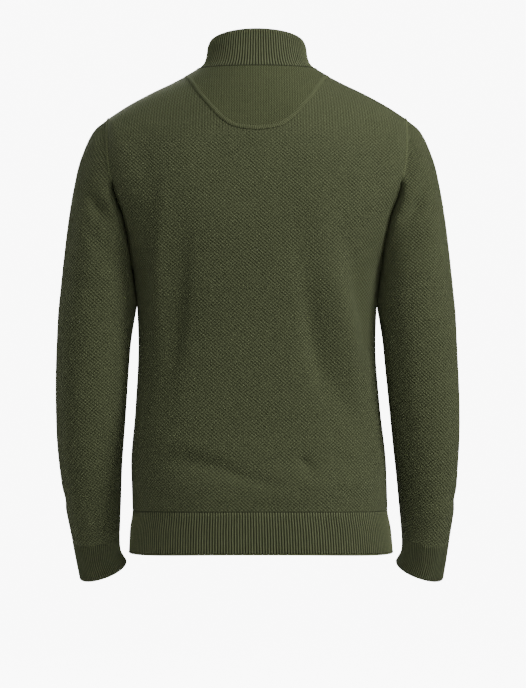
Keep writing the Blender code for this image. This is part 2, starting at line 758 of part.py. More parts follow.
def slider_frame():
    """Axes at the slider's middle: x across, y into the garment, z up along the zip."""
    top, outward = front_at(CHAIN_TOP_STAGE, 0.0)
    below, _ = front_at(CHAIN_TOP_STAGE - SLIDER_REACH, 0.0)
    up = (top - below).normalized()
    across = Vector((1.0, 0.0, 0.0))
    inward = up.cross(across).normalized()
    frame = Matrix((across, inward, up)).transposed().to_4x4()
    frame.translation = top - up * SLIDER_DROP
    return frame


def block(name, low, high, finish, frame, rounding=0.0):
    """A box between two corners of a frame, with the edges along the frame's y rounded."""
    bm = bmesh.new()
    bmesh.ops.create_cube(bm, size=1.0)
    size = Vector(high) - Vector(low)
    middle = (Vector(high) + Vector(low)) / 2
    bmesh.ops.scale(bm, vec=size, verts=bm.verts[:])
    bmesh.ops.translate(bm, vec=middle, verts=bm.verts[:])
    if rounding:
        along_y = [e for e in bm.edges if abs(e.verts[0].co.y - e.verts[1].co.y) > size.y / 2]
        bmesh.ops.bevel(bm, geom=along_y, offset=rounding, segments=3, profile=0.5,
                        affect="EDGES", material=-1)
    made = finish_object(name, bm, finish)
    made.matrix_world = frame
    return made


def combine(target, tool, operation):
    """Join a tool to a piece, or cut it away; the tool itself is only a guide."""
    cut = target.modifiers.new(tool.name, "BOOLEAN")
    cut.operation = operation
    cut.solver = "EXACT"
    cut.object = tool
    tool.hide_render = True
    tool.display_type = "WIRE"


def build_slider(metal, frame):
    """Two plates held apart by a post above the teeth, and a bridge for the pull tab."""
    half = SLIDER_LENGTH / 2
    wide = SLIDER_HALF_WIDTH
    front, rear = SLIDER_FRONT, SLIDER_REAR
    slider = block("zip_slider", (-wide, front[0], -half), (wide, front[1], half), metal, frame,
                   rounding=SLIDER_ROUNDING)
    plate = block("slider_rear_plate", (-wide, rear[0], -half), (wide, rear[1], half), metal,
                  frame, rounding=SLIDER_ROUNDING)
    post_low = SLIDER_DROP + SEAM_GAP
    post = block("slider_post", (-POST_HALF_WIDTH, front[1] - METAL_OVERLAP, post_low),
                 (POST_HALF_WIDTH, rear[0] + METAL_OVERLAP, post_low + POST_LENGTH), metal, frame)
    under = -PIVOT_STAND_OFF - BRIDGE_CLEARANCE
    arch = block("slider_bridge", (-BRIDGE_HALF_WIDTH, under - BRIDGE_WALL, BRIDGE_LOW),
                 (BRIDGE_HALF_WIDTH, front[0] + METAL_OVERLAP, BRIDGE_HIGH), metal, frame)
    eye = block("slider_bridge_eye", (-2 * BRIDGE_HALF_WIDTH, under, BRIDGE_LOW + BRIDGE_WALL),
                (2 * BRIDGE_HALF_WIDTH, front[0] + 2 * METAL_OVERLAP, BRIDGE_HIGH - BRIDGE_WALL),
                metal, frame)
    combine(arch, eye, "DIFFERENCE")
    for tool in (plate, post, arch):
        combine(slider, tool, "UNION")


def build_pull_tab(metal, frame):
    """The pull tab: a plate with a hole whose top bar turns under the slider's bridge."""
    pivot = frame @ Vector((0.0, -PIVOT_STAND_OFF, PIVOT_HEIGHT))
    place = frame.copy()
    place.translation = pivot
    tab = block("zip_pull", (-TAB_HALF_WIDTH, -BAR_HALF, -TAB_LENGTH),
                (TAB_HALF_WIDTH, BAR_HALF, BAR_HALF), metal, place)
    hole = block("pull_hole", (-TAB_HOLE_HALF_WIDTH, -2 * BAR_HALF, -TAB_HOLE_END),
                 (TAB_HOLE_HALF_WIDTH, 2 * BAR_HALF, -BAR_HALF), metal, place)
    combine(tab, hole, "DIFFERENCE")
    rounded = tab.modifiers.new("rounded_corners", "BEVEL")
    rounded.width = TAB_EDGE
    rounded.segments = 1
    rounded.limit_method = "ANGLE"


def build_zip(tape, metal):
    for side, sign in (("left", 1.0), ("right", -1.0)):
        low_x, high_x = sorted((sign * TAPE_INNER_X, sign * TAPE_OUTER_X))
        zip_strip("zip_tape_" + side, low_x, high_x, TAPE_DEPTH, TAPE_THICKNESS,
                  TAPE_BOTTOM_STAGE, TAPE_TOP_STAGE, tape)
        low_x, high_x = sorted((sign * CHAIN_INNER_X, sign * CHAIN_OUTER_X))
        zip_strip("zip_chain_" + side, low_x, high_x, CHAIN_DEPTH, CHAIN_THICKNESS,
                  CHAIN_BOTTOM_STAGE, CHAIN_TOP_STAGE, metal)
    zip_strip("zip_box", -BOX_HALF_WIDTH, BOX_HALF_WIDTH, CHAIN_DEPTH, CHAIN_THICKNESS,
              BOX_BOTTOM_STAGE, BOX_TOP_STAGE, metal)
    frame = slider_frame()
    stop_low = SLIDER_LENGTH / 2 + SEAM_GAP
    for side, low_x, high_x in (("left", STOP_GAP, CHAIN_OUTER_X),
                                ("right", -CHAIN_OUTER_X, -STOP_GAP)):
        block("zip_stop_" + side, (low_x, CHAIN_DEPTH, stop_low),
              (high_x, CHAIN_DEPTH + CHAIN_THICKNESS, stop_low + STOP_HEIGHT), metal, frame)
    build_slider(metal, frame)
    build_pull_tab(metal, frame)


def main():
    for old in list(bpy.data.objects):
        bpy.data.objects.remove(old, do_unlink=True)
    knit = material("moss_knit", OLIVE, 0.9)
    rib = material("rib_knit", OLIVE_RIB, 0.9)
    tape = material("zip_tape", TAPE_COLOUR, 0.8)
    metal = material("zip_metal", METAL_COLOUR, 0.35, metallic=1.0)
    build_body(knit, rib)
    build_sleeves(knit, rib)
    build_collar(rib)
    build_patch(knit)
    build_zip(tape, metal)


main()
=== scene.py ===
"""The looks of the worn zip-up cardigan: moss-stitch knit, ribs, linked seams and metal zip.

The knit is laid course by course. A panel's courses are level lines on the worn form, and its
wales stand one stitch apart along them, so the panel's outline cuts through the stitches as a
maker's scissors do. Every stitch of the moss stitch is one point of the mesh, raised or sunk.

Metres, +Z up, the garment's front faces -Y and the wearer's left is +X. The body form is read by
(level, turn): levels count its landmarks (-1 lower hem edge, 0 hem seam, 1 underarm, 2 shoulder
tip, 3 neck seam), and turns count quarters round it (0 left side, 1 centre back, 2 right side,
3 centre front, 4 left side again).
"""
import logging
import math
from dataclasses import dataclass, field, fields
from enum import Enum

import bmesh
import bpy
import numpy as np
from mathutils import Matrix, Vector


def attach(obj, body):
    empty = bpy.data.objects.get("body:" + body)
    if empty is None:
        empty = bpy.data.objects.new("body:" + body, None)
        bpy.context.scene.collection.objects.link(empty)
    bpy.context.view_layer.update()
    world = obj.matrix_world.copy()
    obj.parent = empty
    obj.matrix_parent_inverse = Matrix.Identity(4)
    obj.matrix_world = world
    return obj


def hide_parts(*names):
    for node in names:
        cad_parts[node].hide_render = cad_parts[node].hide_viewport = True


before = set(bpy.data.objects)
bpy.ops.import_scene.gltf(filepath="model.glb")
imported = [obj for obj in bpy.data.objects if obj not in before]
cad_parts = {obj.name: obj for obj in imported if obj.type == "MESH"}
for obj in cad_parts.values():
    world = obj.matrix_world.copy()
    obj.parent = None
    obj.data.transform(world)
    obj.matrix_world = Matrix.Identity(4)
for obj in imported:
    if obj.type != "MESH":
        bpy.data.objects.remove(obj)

LOG = logging.getLogger("cardigan")
CARDIGAN_BODY = "cardigan"
CLOTH_MAP = "cloth"          # the UV map that holds a point's place in the flat cut, in metres
SIDES = ("left", "right")
ZIP_OPENING = 0.0065         # half the gap between the front edges
YOKE_LOW, YOKE_HIGH = -0.135, -0.075   # between these heights moss stitch turns to ribs
TINY = 1e-3
HAIR = 1e-9
HEM_RIB_PITCH, CUFF_RIB_PITCH, COLLAR_RIB_PITCH = 0.00385, 0.0032, 0.0037
COLUMNS_A_RIB = 6
SHARP = math.radians(50)     # faces that meet at a larger angle keep a hard edge
PLAN = (1.0, 1.0, 0.0)       # keeps the level part of a direction
SAME_PLACE = 0.0001          # points closer than this become one

Array = np.ndarray
Socket, Tree, Node = bpy.types.NodeSocket, bpy.types.NodeTree, bpy.types.Node
Material, Piece, Sheet = bpy.types.Material, bpy.types.Object, bmesh.types.BMesh
Colour = tuple[float, float, float, float]
Point = tuple[float, float, float]


# ================================================================ curves through tables
class RisingCurve:
    """A smooth curve through values at rising stations that never overshoots them."""

    def __init__(self, stations: list[float], values: list[float]) -> None:
        """Works out the tangents.

        Args:
            stations: where the values stand, rising.
            values: the values there.
        """
        self.stations = np.asarray(stations, dtype=float)
        self.values = np.asarray(values, dtype=float)
        self.steps = np.diff(self.stations)
        slopes = np.diff(self.values) / self.steps
        self.tangents = np.zeros(len(self.values))
        self.tangents[0] = slopes[0]
        self.tangents[-1] = slopes[-1]
        for i in range(1, len(self.values) - 1):
            if slopes[i - 1] * slopes[i] > 0:
                before = 2 * self.steps[i] + self.steps[i - 1]
                after = self.steps[i] + 2 * self.steps[i - 1]
                share = before / slopes[i - 1] + after / slopes[i]
                self.tangents[i] = (before + after) / share

    def __call__(self, at: Array | float) -> Array:
        """The curve's value at each of the given places."""
        at = np.clip(np.asarray(at, dtype=float), self.stations[0], self.stations[-1])
        i = np.clip(np.searchsorted(self.stations, at, side="right") - 1, 0, len(self.steps) - 1)
        t = (at - self.stations[i]) / self.steps[i]
        rise = self.values[i] * (1 + 2 * t) * (1 - t) ** 2
        rise = rise + self.values[i + 1] * t * t * (3 - 2 * t)
        bend = self.tangents[i] * t * (1 - t) ** 2 - self.tangents[i + 1] * t * t * (1 - t)
        return rise + bend * self.steps[i]


def flowing(values: list[float], at: Array) -> Array:
    """A smooth curve through evenly numbered values, for the rows of a table.

    Args:
        values: one value for each row.
        at: fractional row numbers.

    Returns:
        The value at each row number.
    """
    values = np.asarray(values, dtype=float)
    padded = np.concatenate([[2 * values[0] - values[1]], values, [2 * values[-1] - values[-2]]])
    at = np.clip(at, 0.0, len(values) - 1.0)
    i = np.minimum(at.astype(int), len(values) - 2)
    t = at - i
    before, first, last, after = (padded[i + k] for k in range(4))
    return 0.5 * (2 * first + (last - before) * t
                  + (2 * before - 5 * first + 4 * last - after) * t ** 2
                  + (3 * first - before - 3 * last + after) * t ** 3)


def column(table: tuple, name: str) -> list[float]:
    """One named column of a table of dataclass rows."""
    return [getattr(row, name) for row in table]


def ease(share: Array | float) -> Array:
    """A soft step from 0 to 1."""
    share = np.clip(share, 0.0, 1.0)
    return share * share * (3 - 2 * share)


def unit(vectors: Array) -> Array:
    """The vectors at length one."""
    return vectors / np.maximum(np.linalg.norm(vectors, axis=-1, keepdims=True), 1e-12)


def paired(first: Array | float, second: Array | float) -> list[Array]:
    """Two arrays of numbers brought to one shape."""
    return np.broadcast_arrays(np.asarray(first, float), np.asarray(second, float))


def run_of(line: Array) -> Array:
    """Distances along a line from its first point."""
    return np.concatenate([[0.0], np.cumsum(np.linalg.norm(np.diff(line, axis=0), axis=1))])


def spots_on(line: Array, along: Array, at: Array) -> Array:
    """Points of a line at distances along it.

    Args:
        line: the line's own points.
        along: their distances, rising.
        at: the distances asked for.

    Returns:
        The points there.
    """
    return np.stack([np.interp(at, along, line[:, axis]) for axis in range(3)], axis=1)


def up_armhole(around: Array) -> tuple[Array, Array]:
    """Places round an armhole: whether each is on the back, and its share of the height."""
    back = around <= 0.5
    return back, np.where(back, 2 * around, 2 - 2 * around)


def curve_of(table: tuple) -> RisingCurve:
    """The curve through a table of stations."""
    return RisingCurve(column(table, "at"), column(table, "value"))


# ================================================================ the worn form
@dataclass(frozen=True)
class Landmark:
    """A ring of the body: its heights, its squareness in plan and its bend from side to centre."""

    level: float
    side_z: float
    back_z: float
    front_z: float
    squareness: float
    bend: float


@dataclass(frozen=True)
class Station:
    """A pair of a table with two columns: where, and the value there."""

    at: float
    value: float


@dataclass(frozen=True)
class Fold:
    """A soft trough (negative rise) or ridge: a line at x, z, leaning tilt degrees from level."""

    side: str
    x: float
    z: float
    length: float
    width: float
    tilt: float
    rise: float


LANDMARKS = (
    Landmark(-1, -0.697, -0.691, -0.698, 2.30, 3.0),
    Landmark(0, -0.637, -0.632, -0.641, 2.30, 2.0),
    Landmark(1, -0.295, -0.295, -0.300, 2.40, 2.0),
    Landmark(2, -0.0751, -0.142, -0.172, 2.30, 2.0),
    Landmark(3, -0.004, -0.005, -0.058, 2.00, 1.0),
)
WIDTHS = (
    Station(-0.697, 0.1896), Station(-0.665, 0.1873), Station(-0.637, 0.1832),
    Station(-0.580, 0.1832), Station(-0.486, 0.1750), Station(-0.400, 0.1702),
    Station(-0.350, 0.1718), Station(-0.295, 0.1775),
)
BACK_LINE = (
    Station(-0.691, 0.121), Station(-0.637, 0.119), Station(-0.600, 0.119),
    Station(-0.560, 0.110), Station(-0.500, 0.1045), Station(-0.420, 0.105),
    Station(-0.370, 0.107), Station(-0.300, 0.114), Station(-0.220, 0.118),
    Station(-0.150, 0.112), Station(-0.090, 0.098), Station(-0.040, 0.079),
    Station(-0.005, 0.0585),
)
FRONT_LINE = (
    Station(-0.698, -0.118), Station(-0.641, -0.116), Station(-0.600, -0.118),
    Station(-0.500, -0.113), Station(-0.420, -0.112), Station(-0.330, -0.119),
    Station(-0.250, -0.1255), Station(-0.180, -0.122), Station(-0.120, -0.1105),
    Station(-0.085, -0.0995), Station(-0.058, -0.088),
)
# Below the waist the worn garment leans a little to its right: the shift of x at each height.
LEAN = (
    Station(-0.740, -0.0066), Station(-0.670, -0.0053), Station(-0.620, -0.0040),
    Station(-0.560, -0.0022), Station(-0.500, -0.0014), Station(-0.400, 0.0000),
    Station(-0.300, 0.0000),
)
ARMHOLE = (
    Station(0.00, 0.1775), Station(0.20, 0.1787), Station(0.40, 0.1885),
    Station(0.50, 0.2005), Station(0.60, 0.2088), Station(0.70, 0.2123),
    Station(0.80, 0.2135), Station(1.00, 0.2140),
)
SHOULDER_X = (0.2140, 0.1850, 0.1530, 0.1250, 0.1030, 0.0850)
SHOULDER_Z = (-0.0751, -0.0563, -0.0390, -0.0256, -0.0142, -0.0040)

# The largest folds, the same as the solids have.
FOLDS = (
    Fold("back", 0.075, -0.567, 0.075, 0.014, 13, -0.0042),
    Fold("back", 0.000, -0.589, 0.050, 0.014, 14, -0.0030),
    Fold("back", -0.068, -0.567, 0.020, 0.011, 42, -0.0034),
    Fold("back", 0.060, -0.604, 0.100, 0.020, 4, 0.0030),
    Fold("back", -0.070, -0.600, 0.100, 0.020, -2, 0.0030),
    Fold("back", -0.122, -0.390, 0.095, 0.020, 79, 0.0065),
    Fold("back", -0.084, -0.405, 0.085, 0.018, 78, -0.0040),
    Fold("back", 0.115, -0.370, 0.085, 0.017, 95, -0.0018),
    Fold("back", 0.142, -0.300, 0.090, 0.014, 93, 0.0030),
    Fold("front", 0.080, -0.575, 0.070, 0.018, 8, -0.0040),
    Fold("front", -0.090, -0.560, 0.060, 0.018, -14, -0.0035),
    Fold("front", 0.120, -0.390, 0.090, 0.018, 84, -0.0035),
    Fold("front", -0.125, -0.370, 0.080, 0.018, 98, -0.0035),
)

# Smaller creases and puffs, uneven as worn cloth has them, with similar ones on the front.
CREASES = (
    Fold("back", 0.120, -0.562, 0.045, 0.012, 5, -0.0012),
    Fold("back", 0.030, -0.582, 0.036, 0.007, 18, -0.0028),
    Fold("back", 0.060, -0.602, 0.100, 0.020, 4, -0.0022),
    Fold("back", 0.130, -0.490, 0.075, 0.048, 5, 0.0050),
    Fold("back", -0.016, -0.594, 0.032, 0.008, 12, -0.0018),
    Fold("back", 0.070, -0.545, 0.090, 0.018, 10, 0.0022),
    Fold("back", -0.068, -0.566, 0.014, 0.0055, 42, -0.0022),
    Fold("back", -0.052, -0.580, 0.020, 0.010, 36, 0.0012),
    Fold("back", -0.118, -0.560, 0.024, 0.010, 30, -0.0014),
    Fold("back", -0.060, -0.606, 0.018, 0.009, 20, -0.0012),
    Fold("back", -0.112, -0.600, 0.026, 0.009, 12, -0.0016),
    Fold("back", -0.035, -0.612, 0.030, 0.012, -10, 0.0014),
    Fold("back", -0.115, -0.360, 0.145, 0.021, 80, 0.0088),
    Fold("back", -0.145, -0.335, 0.085, 0.011, 81, -0.0052),
    Fold("back", -0.081, -0.372, 0.130, 0.014, 80, -0.0050),
    Fold("back", -0.121, -0.474, 0.062, 0.017, 66, -0.0064),
    Fold("back", 0.112, -0.360, 0.120, 0.011, 96, -0.0056),
    Fold("back", 0.134, -0.300, 0.135, 0.012, 93, 0.0058),
    Fold("back", 0.140, -0.520, 0.060, 0.020, 70, 0.0020),
    Fold("back", 0.098, -0.155, 0.070, 0.024, 92, 0.0018),
    Fold("back", -0.078, -0.180, 0.090, 0.024, 90, 0.0020),
    Fold("back", -0.146, -0.190, 0.060, 0.018, 104, 0.0016),
    Fold("back", 0.158, -0.150, 0.050, 0.014, 80, -0.0014),
    Fold("front", 0.060, -0.555, 0.046, 0.012, -6, -0.0020),
    Fold("front", 0.115, -0.585, 0.036, 0.013, 24, 0.0018),
    Fold("front", -0.070, -0.590, 0.050, 0.013, 10, -0.0018),
    Fold("front", -0.120, -0.545, 0.040, 0.014, -30, 0.0018),
    Fold("front", 0.140, -0.300, 0.080, 0.014, 76, -0.0026),
    Fold("front", 0.112, -0.310, 0.070, 0.016, 84, 0.0020),
    Fold("front", -0.142, -0.290, 0.080, 0.014, 106, -0.0026),
    Fold("front", -0.112, -0.320, 0.060, 0.016, 98, 0.0020),
    Fold("front", 0.165, -0.160, 0.070, 0.016, 60, -0.0018),
    Fold("front", -0.168, -0.165, 0.060, 0.016, 124, -0.0018),
    Fold("front", 0.035, -0.470, 0.050, 0.014, 70, 0.0012),
    Fold("front", -0.040, -0.420, 0.060, 0.014, 104, 0.0012),
)


def crease_rise(folds: tuple, across: Array, height: Array, shape: float = 2.0) -> Array:
    """How far a table of folds lifts the cloth at each point.

    Args:
        folds: the folds of one side.
        across: the points' places across the side.
        height: the points' heights.
        shape: how fast a fold dies out along its length.

    Returns:
        The lift in metres.
    """
    total = np.zeros(np.shape(across))
    for fold in folds:
        lean = math.radians(fold.tilt)
        dx = across - fold.x
        dz = height - fold.z
        along = dx * math.cos(lean) + dz * math.sin(lean)
        beside = dz * math.cos(lean) - dx * math.sin(lean)
        reach = shape * (along / fold.length) ** 2 + (beside / fold.width) ** 2
        total = total + fold.rise * np.exp(-reach)
    return total


def lean_shift(height: Array) -> Array:
    """The shift of x at heights of the worn garment."""
    return curve_of(LEAN)(height)


def leaned(points: Array) -> Array:
    """The points moved over by the garment's lean."""
    moved = np.array(points, dtype=float)
    moved[..., 0] += lean_shift(moved[..., 2])
    return moved


@dataclass
class BodyForm:
    """The worn body, one smooth surface that every body piece is laid on."""

    underarm_z: float = -0.295
    tip_z: float = -0.0751
    depth_back: float = 0.067
    depth_front: float = -0.070
    front_scoop: float = 0.008
    rounding: float = 0.40
    round_reach: float = 0.45
    clear_of_side: float = 0.05
    groove_depth: float = 0.023
    groove_width: float = 0.0028
    groove_share: float = 0.80
    sleeve_groove_width: float = 0.0068
    groove_foot: float = 0.10
    groove_top: tuple[float, float] = (0.49, 0.08)
    blur: tuple[float, ...] = (1.0, 2.0, 3.0, 2.0, 1.0)
    curves: dict[str, RisingCurve] = field(default_factory=dict)

    def __post_init__(self) -> None:
        """Prepares the curves through the tables."""
        levels = column(LANDMARKS, "level")
        for item in fields(Landmark)[1:]:
            self.curves[item.name] = RisingCurve(levels, column(LANDMARKS, item.name))
        self.curves |= {"width": curve_of(WIDTHS), "back": curve_of(BACK_LINE),
                        "front": curve_of(FRONT_LINE), "armhole": curve_of(ARMHOLE)}

    def edge(self, level: Array, back: Array) -> tuple[Array, Array, Array]:
        """The outer end of a quarter row: side seam, armhole or shoulder seam.

        Args:
            level: levels of the rows.
            back: true where the row is on the back.

        Returns:
            x, y and z of the row's end.
        """
        low_z = self.curves["side_z"](level)
        low_x = self.curves["width"](low_z)
        share = np.clip(level - 1.0, 0.0, 1.0)
        oval = np.sin(math.pi * share)
        mid_x = self.curves["armhole"](share) - np.where(back, 0.0, self.front_scoop * oval ** 2)
        mid_y = np.where(back, self.depth_back, self.depth_front) * oval
        mid_z = self.underarm_z + (self.tip_z - self.underarm_z) * (1 - np.cos(math.pi * share)) / 2
        row = (level - 2.0) * (len(SHOULDER_X) - 1)
        high_x = flowing(SHOULDER_X, row)
        high_z = flowing(SHOULDER_Z, row)
        low, high = level <= 1.0, level >= 2.0
        x = np.where(low, low_x, np.where(high, high_x, mid_x))
        y = np.where(low | high, 0.0, mid_y)
        z = np.where(low, low_z, np.where(high, high_z, mid_z))
        return x, y, z

    def quarter(self, level: Array, reach: Array, back: Array) -> Array:
        """Points on the left half: reach 0 at the row's end, 1 at the centre line."""
        edge_x, edge_y, edge_z = self.edge(level, back)
        power = 2.0 / self.curves["squareness"](level)
        centre_z = np.where(back, self.curves["back_z"](level), self.curves["front_z"](level))
        centre_y = np.where(back, self.curves["back"](centre_z), self.curves["front"](centre_z))
        start = np.arcsin(np.clip(edge_y / centre_y, 0.0, 1.0) ** (1.0 / power))
        angle = start + (math.pi / 2 - start) * reach
        across = np.maximum(np.cos(angle), 0.0) ** power / np.cos(start) ** power
        first = np.sin(start) ** power
        turned = (np.sin(angle) ** power - first) / (1.0 - first)
        z = edge_z + (centre_z - edge_z) * np.maximum(turned, 0.0) ** self.curves["bend"](level)
        return np.stack([edge_x * across, edge_y + (centre_y - edge_y) * turned, z], axis=-1)

    def point(self, level: Array | float, turn: Array | float) -> Array:
        """The outer face of the body at levels and turns.

        Args:
            level: levels.
            turn: turns, of a shape that goes with the levels'.

        Returns:
            The points, with one more axis of three.
        """
        level, turn = paired(level, turn)
        turn = np.mod(turn, 4.0)
        back = turn <= 2.0
        half = np.where(back, turn, 4.0 - turn)
        reach = np.where(half <= 1.0, half, 2.0 - half)
        inside = ease(reach / self.round_reach)
        above = np.clip(level - 1.0, 0.0, 2.0)
        span = self.rounding * inside * np.sin(math.pi * above / 2) ** 2
        total = np.zeros(level.shape + (3,))
        for number, weight in enumerate(self.blur):
            step = span * (number - 2) / 2
            total += self.quarter(level + step, reach, back) * (weight / sum(self.blur))
        total[..., 0] *= np.where(half > 1.0, -1.0, 1.0)
        return leaned(total + self.lift(total, level, back))

    def lift(self, points: Array, level: Array, back: Array) -> Array:
        """The way that folds and the groove next to the lower armhole move the points."""
        outward = unit(points * PLAN)
        x, y, z = np.moveaxis(points, -1, 0)
        rise = np.zeros(x.shape)
        for side, here in (("back", back), ("front", ~back)):
            folds = tuple(fold for fold in FOLDS + CREASES if fold.side == side)
            rise = np.where(here, crease_rise(folds, x, z), rise)
        rise = rise * np.minimum(1.0, np.abs(y) / self.clear_of_side)
        edge_x, edge_y, _ = self.edge(np.clip(level, 1.0, 2.0), back)
        gap = np.hypot(np.abs(x) - edge_x, y - edge_y)
        near = np.exp(-(gap / self.groove_width) ** 2)
        sunk = self.groove(level, edge_y) * near
        return outward * rise[..., None] - np.stack([0 * sunk, sunk, 0 * sunk], axis=-1)

    def groove(self, level: Array, edge_y: Array) -> Array:
        """How deep the armhole seam lies in its groove, towards the middle of the depth.

        Args:
            level: levels; the groove runs up the lower part of the armhole only.
            edge_y: the seam's own y there.

        Returns:
            The move against y, in metres, with the sign of edge_y.
        """
        low = np.clip(level - 1.0, 0.0, 1.0)
        start, fall = self.groove_top
        fade = ease(low / self.groove_foot) * (1.0 - ease((low - start) / fall))
        inside = np.where((level >= 1.0) & (level <= 2.0), 1.0, 0.0)
        depth = np.minimum(self.groove_depth, self.groove_share * np.abs(edge_y))
        return np.sign(edge_y) * depth * fade * inside

    def zip_reach(self, level: Array, half_width: float | Array) -> Array:
        """The reach at which a front row stands half_width from the centre line."""
        back = np.zeros(np.shape(level), dtype=bool)
        edge_x, edge_y, _ = self.edge(level, back)
        power = 2.0 / self.curves["squareness"](level)
        centre_y = self.curves["front"](self.curves["front_z"](level))
        start = np.arcsin(np.clip(edge_y / centre_y, 0.0, 1.0) ** (1.0 / power))
        angle = np.arccos((half_width / edge_x) ** (1.0 / power) * np.cos(start))
        return (angle - start) / (math.pi / 2 - start)

    def normal(self, level: Array, turn: Array | float) -> Array:
        """The outward direction of the body's cloth, away from the ends of its rows."""
        low = np.maximum(level - TINY, -1.0)
        high = np.minimum(level + TINY, 3.0)
        around = self.point(level, turn + TINY) - self.point(level, turn - TINY)
        upward = self.point(high, turn) - self.point(low, turn)
        return unit(np.cross(around, upward))


@dataclass(frozen=True)
class SleeveRing:
    """A ring of the left sleeve: outermost and innermost points, middle and half of the depth.

    Drop is how far its back hangs below its middle, where the arm slants forward.
    """

    out_x: float
    out_z: float
    in_x: float
    in_z: float
    mid_y: float
    half_depth: float
    drop: float


SLEEVE = (
    SleeveRing(0.2140, -0.0751, 0.1775, -0.2950, 0.0000, 0.0685, 0.0000),
    SleeveRing(0.2357, -0.0945, 0.1773, -0.3030, 0.0000, 0.0690, 0.0000),
    SleeveRing(0.2535, -0.134, 0.1764, -0.3110, 0.0010, 0.0690, 0.0000),
    SleeveRing(0.2625, -0.172, 0.1752, -0.3200, 0.0030, 0.0680, 0.0000),
    SleeveRing(0.2695, -0.214, 0.1740, -0.3310, 0.0060, 0.0665, 0.0000),
    SleeveRing(0.2752, -0.260, 0.1730, -0.3450, 0.0090, 0.0650, 0.0000),
    SleeveRing(0.2805, -0.312, 0.1763, -0.3660, 0.0120, 0.0630, 0.0000),
    SleeveRing(0.2850, -0.368, 0.1808, -0.3960, 0.0140, 0.0610, 0.0000),
    SleeveRing(0.2880, -0.425, 0.1845, -0.4370, 0.0140, 0.0590, 0.0010),
    SleeveRing(0.2896, -0.480, 0.1886, -0.4840, 0.0110, 0.0565, 0.0035),
    SleeveRing(0.2893, -0.535, 0.1930, -0.5310, 0.0040, 0.0535, 0.0065),
    SleeveRing(0.2860, -0.589, 0.1976, -0.5770, -0.0060, 0.0500, 0.0090),
    SleeveRing(0.2806, -0.638, 0.2014, -0.6250, -0.0180, 0.0450, 0.0110),
    SleeveRing(0.2741, -0.681, 0.2049, -0.6720, -0.0295, 0.0400, 0.0120),
    SleeveRing(0.2700, -0.709, 0.2045, -0.7010, -0.0365, 0.0365, 0.0118),
    SleeveRing(0.2653, -0.738, 0.1965, -0.7175, -0.0425, 0.0355, 0.0115),
)

# Creases of the sleeves. Their x runs round the sleeve from the underarm (0) over the back
# (0.25) to the outside (0.5) and the front (0.75), scaled by ROUND_SCALE to metres.
ROUND_SCALE = 0.36
SLEEVE_CREASES = (
    Fold("both", 0.102, -0.206, 0.036, 0.009, 50, -0.0074),
    Fold("both", 0.082, -0.205, 0.034, 0.009, 50, 0.0036),
    Fold("both", 0.124, -0.240, 0.040, 0.012, 56, 0.0020),
    Fold("both", 0.086, -0.262, 0.040, 0.010, 40, -0.0022),
    Fold("both", 0.095, -0.300, 0.045, 0.014, 24, 0.0016),
    Fold("both", 0.258, -0.208, 0.040, 0.011, -48, -0.0050),
    Fold("both", 0.280, -0.204, 0.034, 0.011, -48, 0.0034),
    Fold("both", 0.275, -0.440, 0.040, 0.012, 14, -0.0022),
    Fold("both", 0.260, -0.470, 0.046, 0.011, -8, -0.0026),
    Fold("both", 0.285, -0.500, 0.040, 0.012, -20, -0.0022),
    Fold("both", 0.270, -0.455, 0.030, 0.010, 4, 0.0016),
    Fold("both", 0.120, -0.585, 0.050, 0.014, 12, -0.0016),
    Fold("both", 0.100, -0.640, 0.060, 0.013, 6, 0.0024),
    Fold("both", 0.240, -0.645, 0.060, 0.012, -6, 0.0022),
    Fold("both", 0.160, -0.622, 0.050, 0.011, -4, -0.0020),
    Fold("both", 0.150, -0.380, 0.070, 0.016, 60, 0.0012),
)


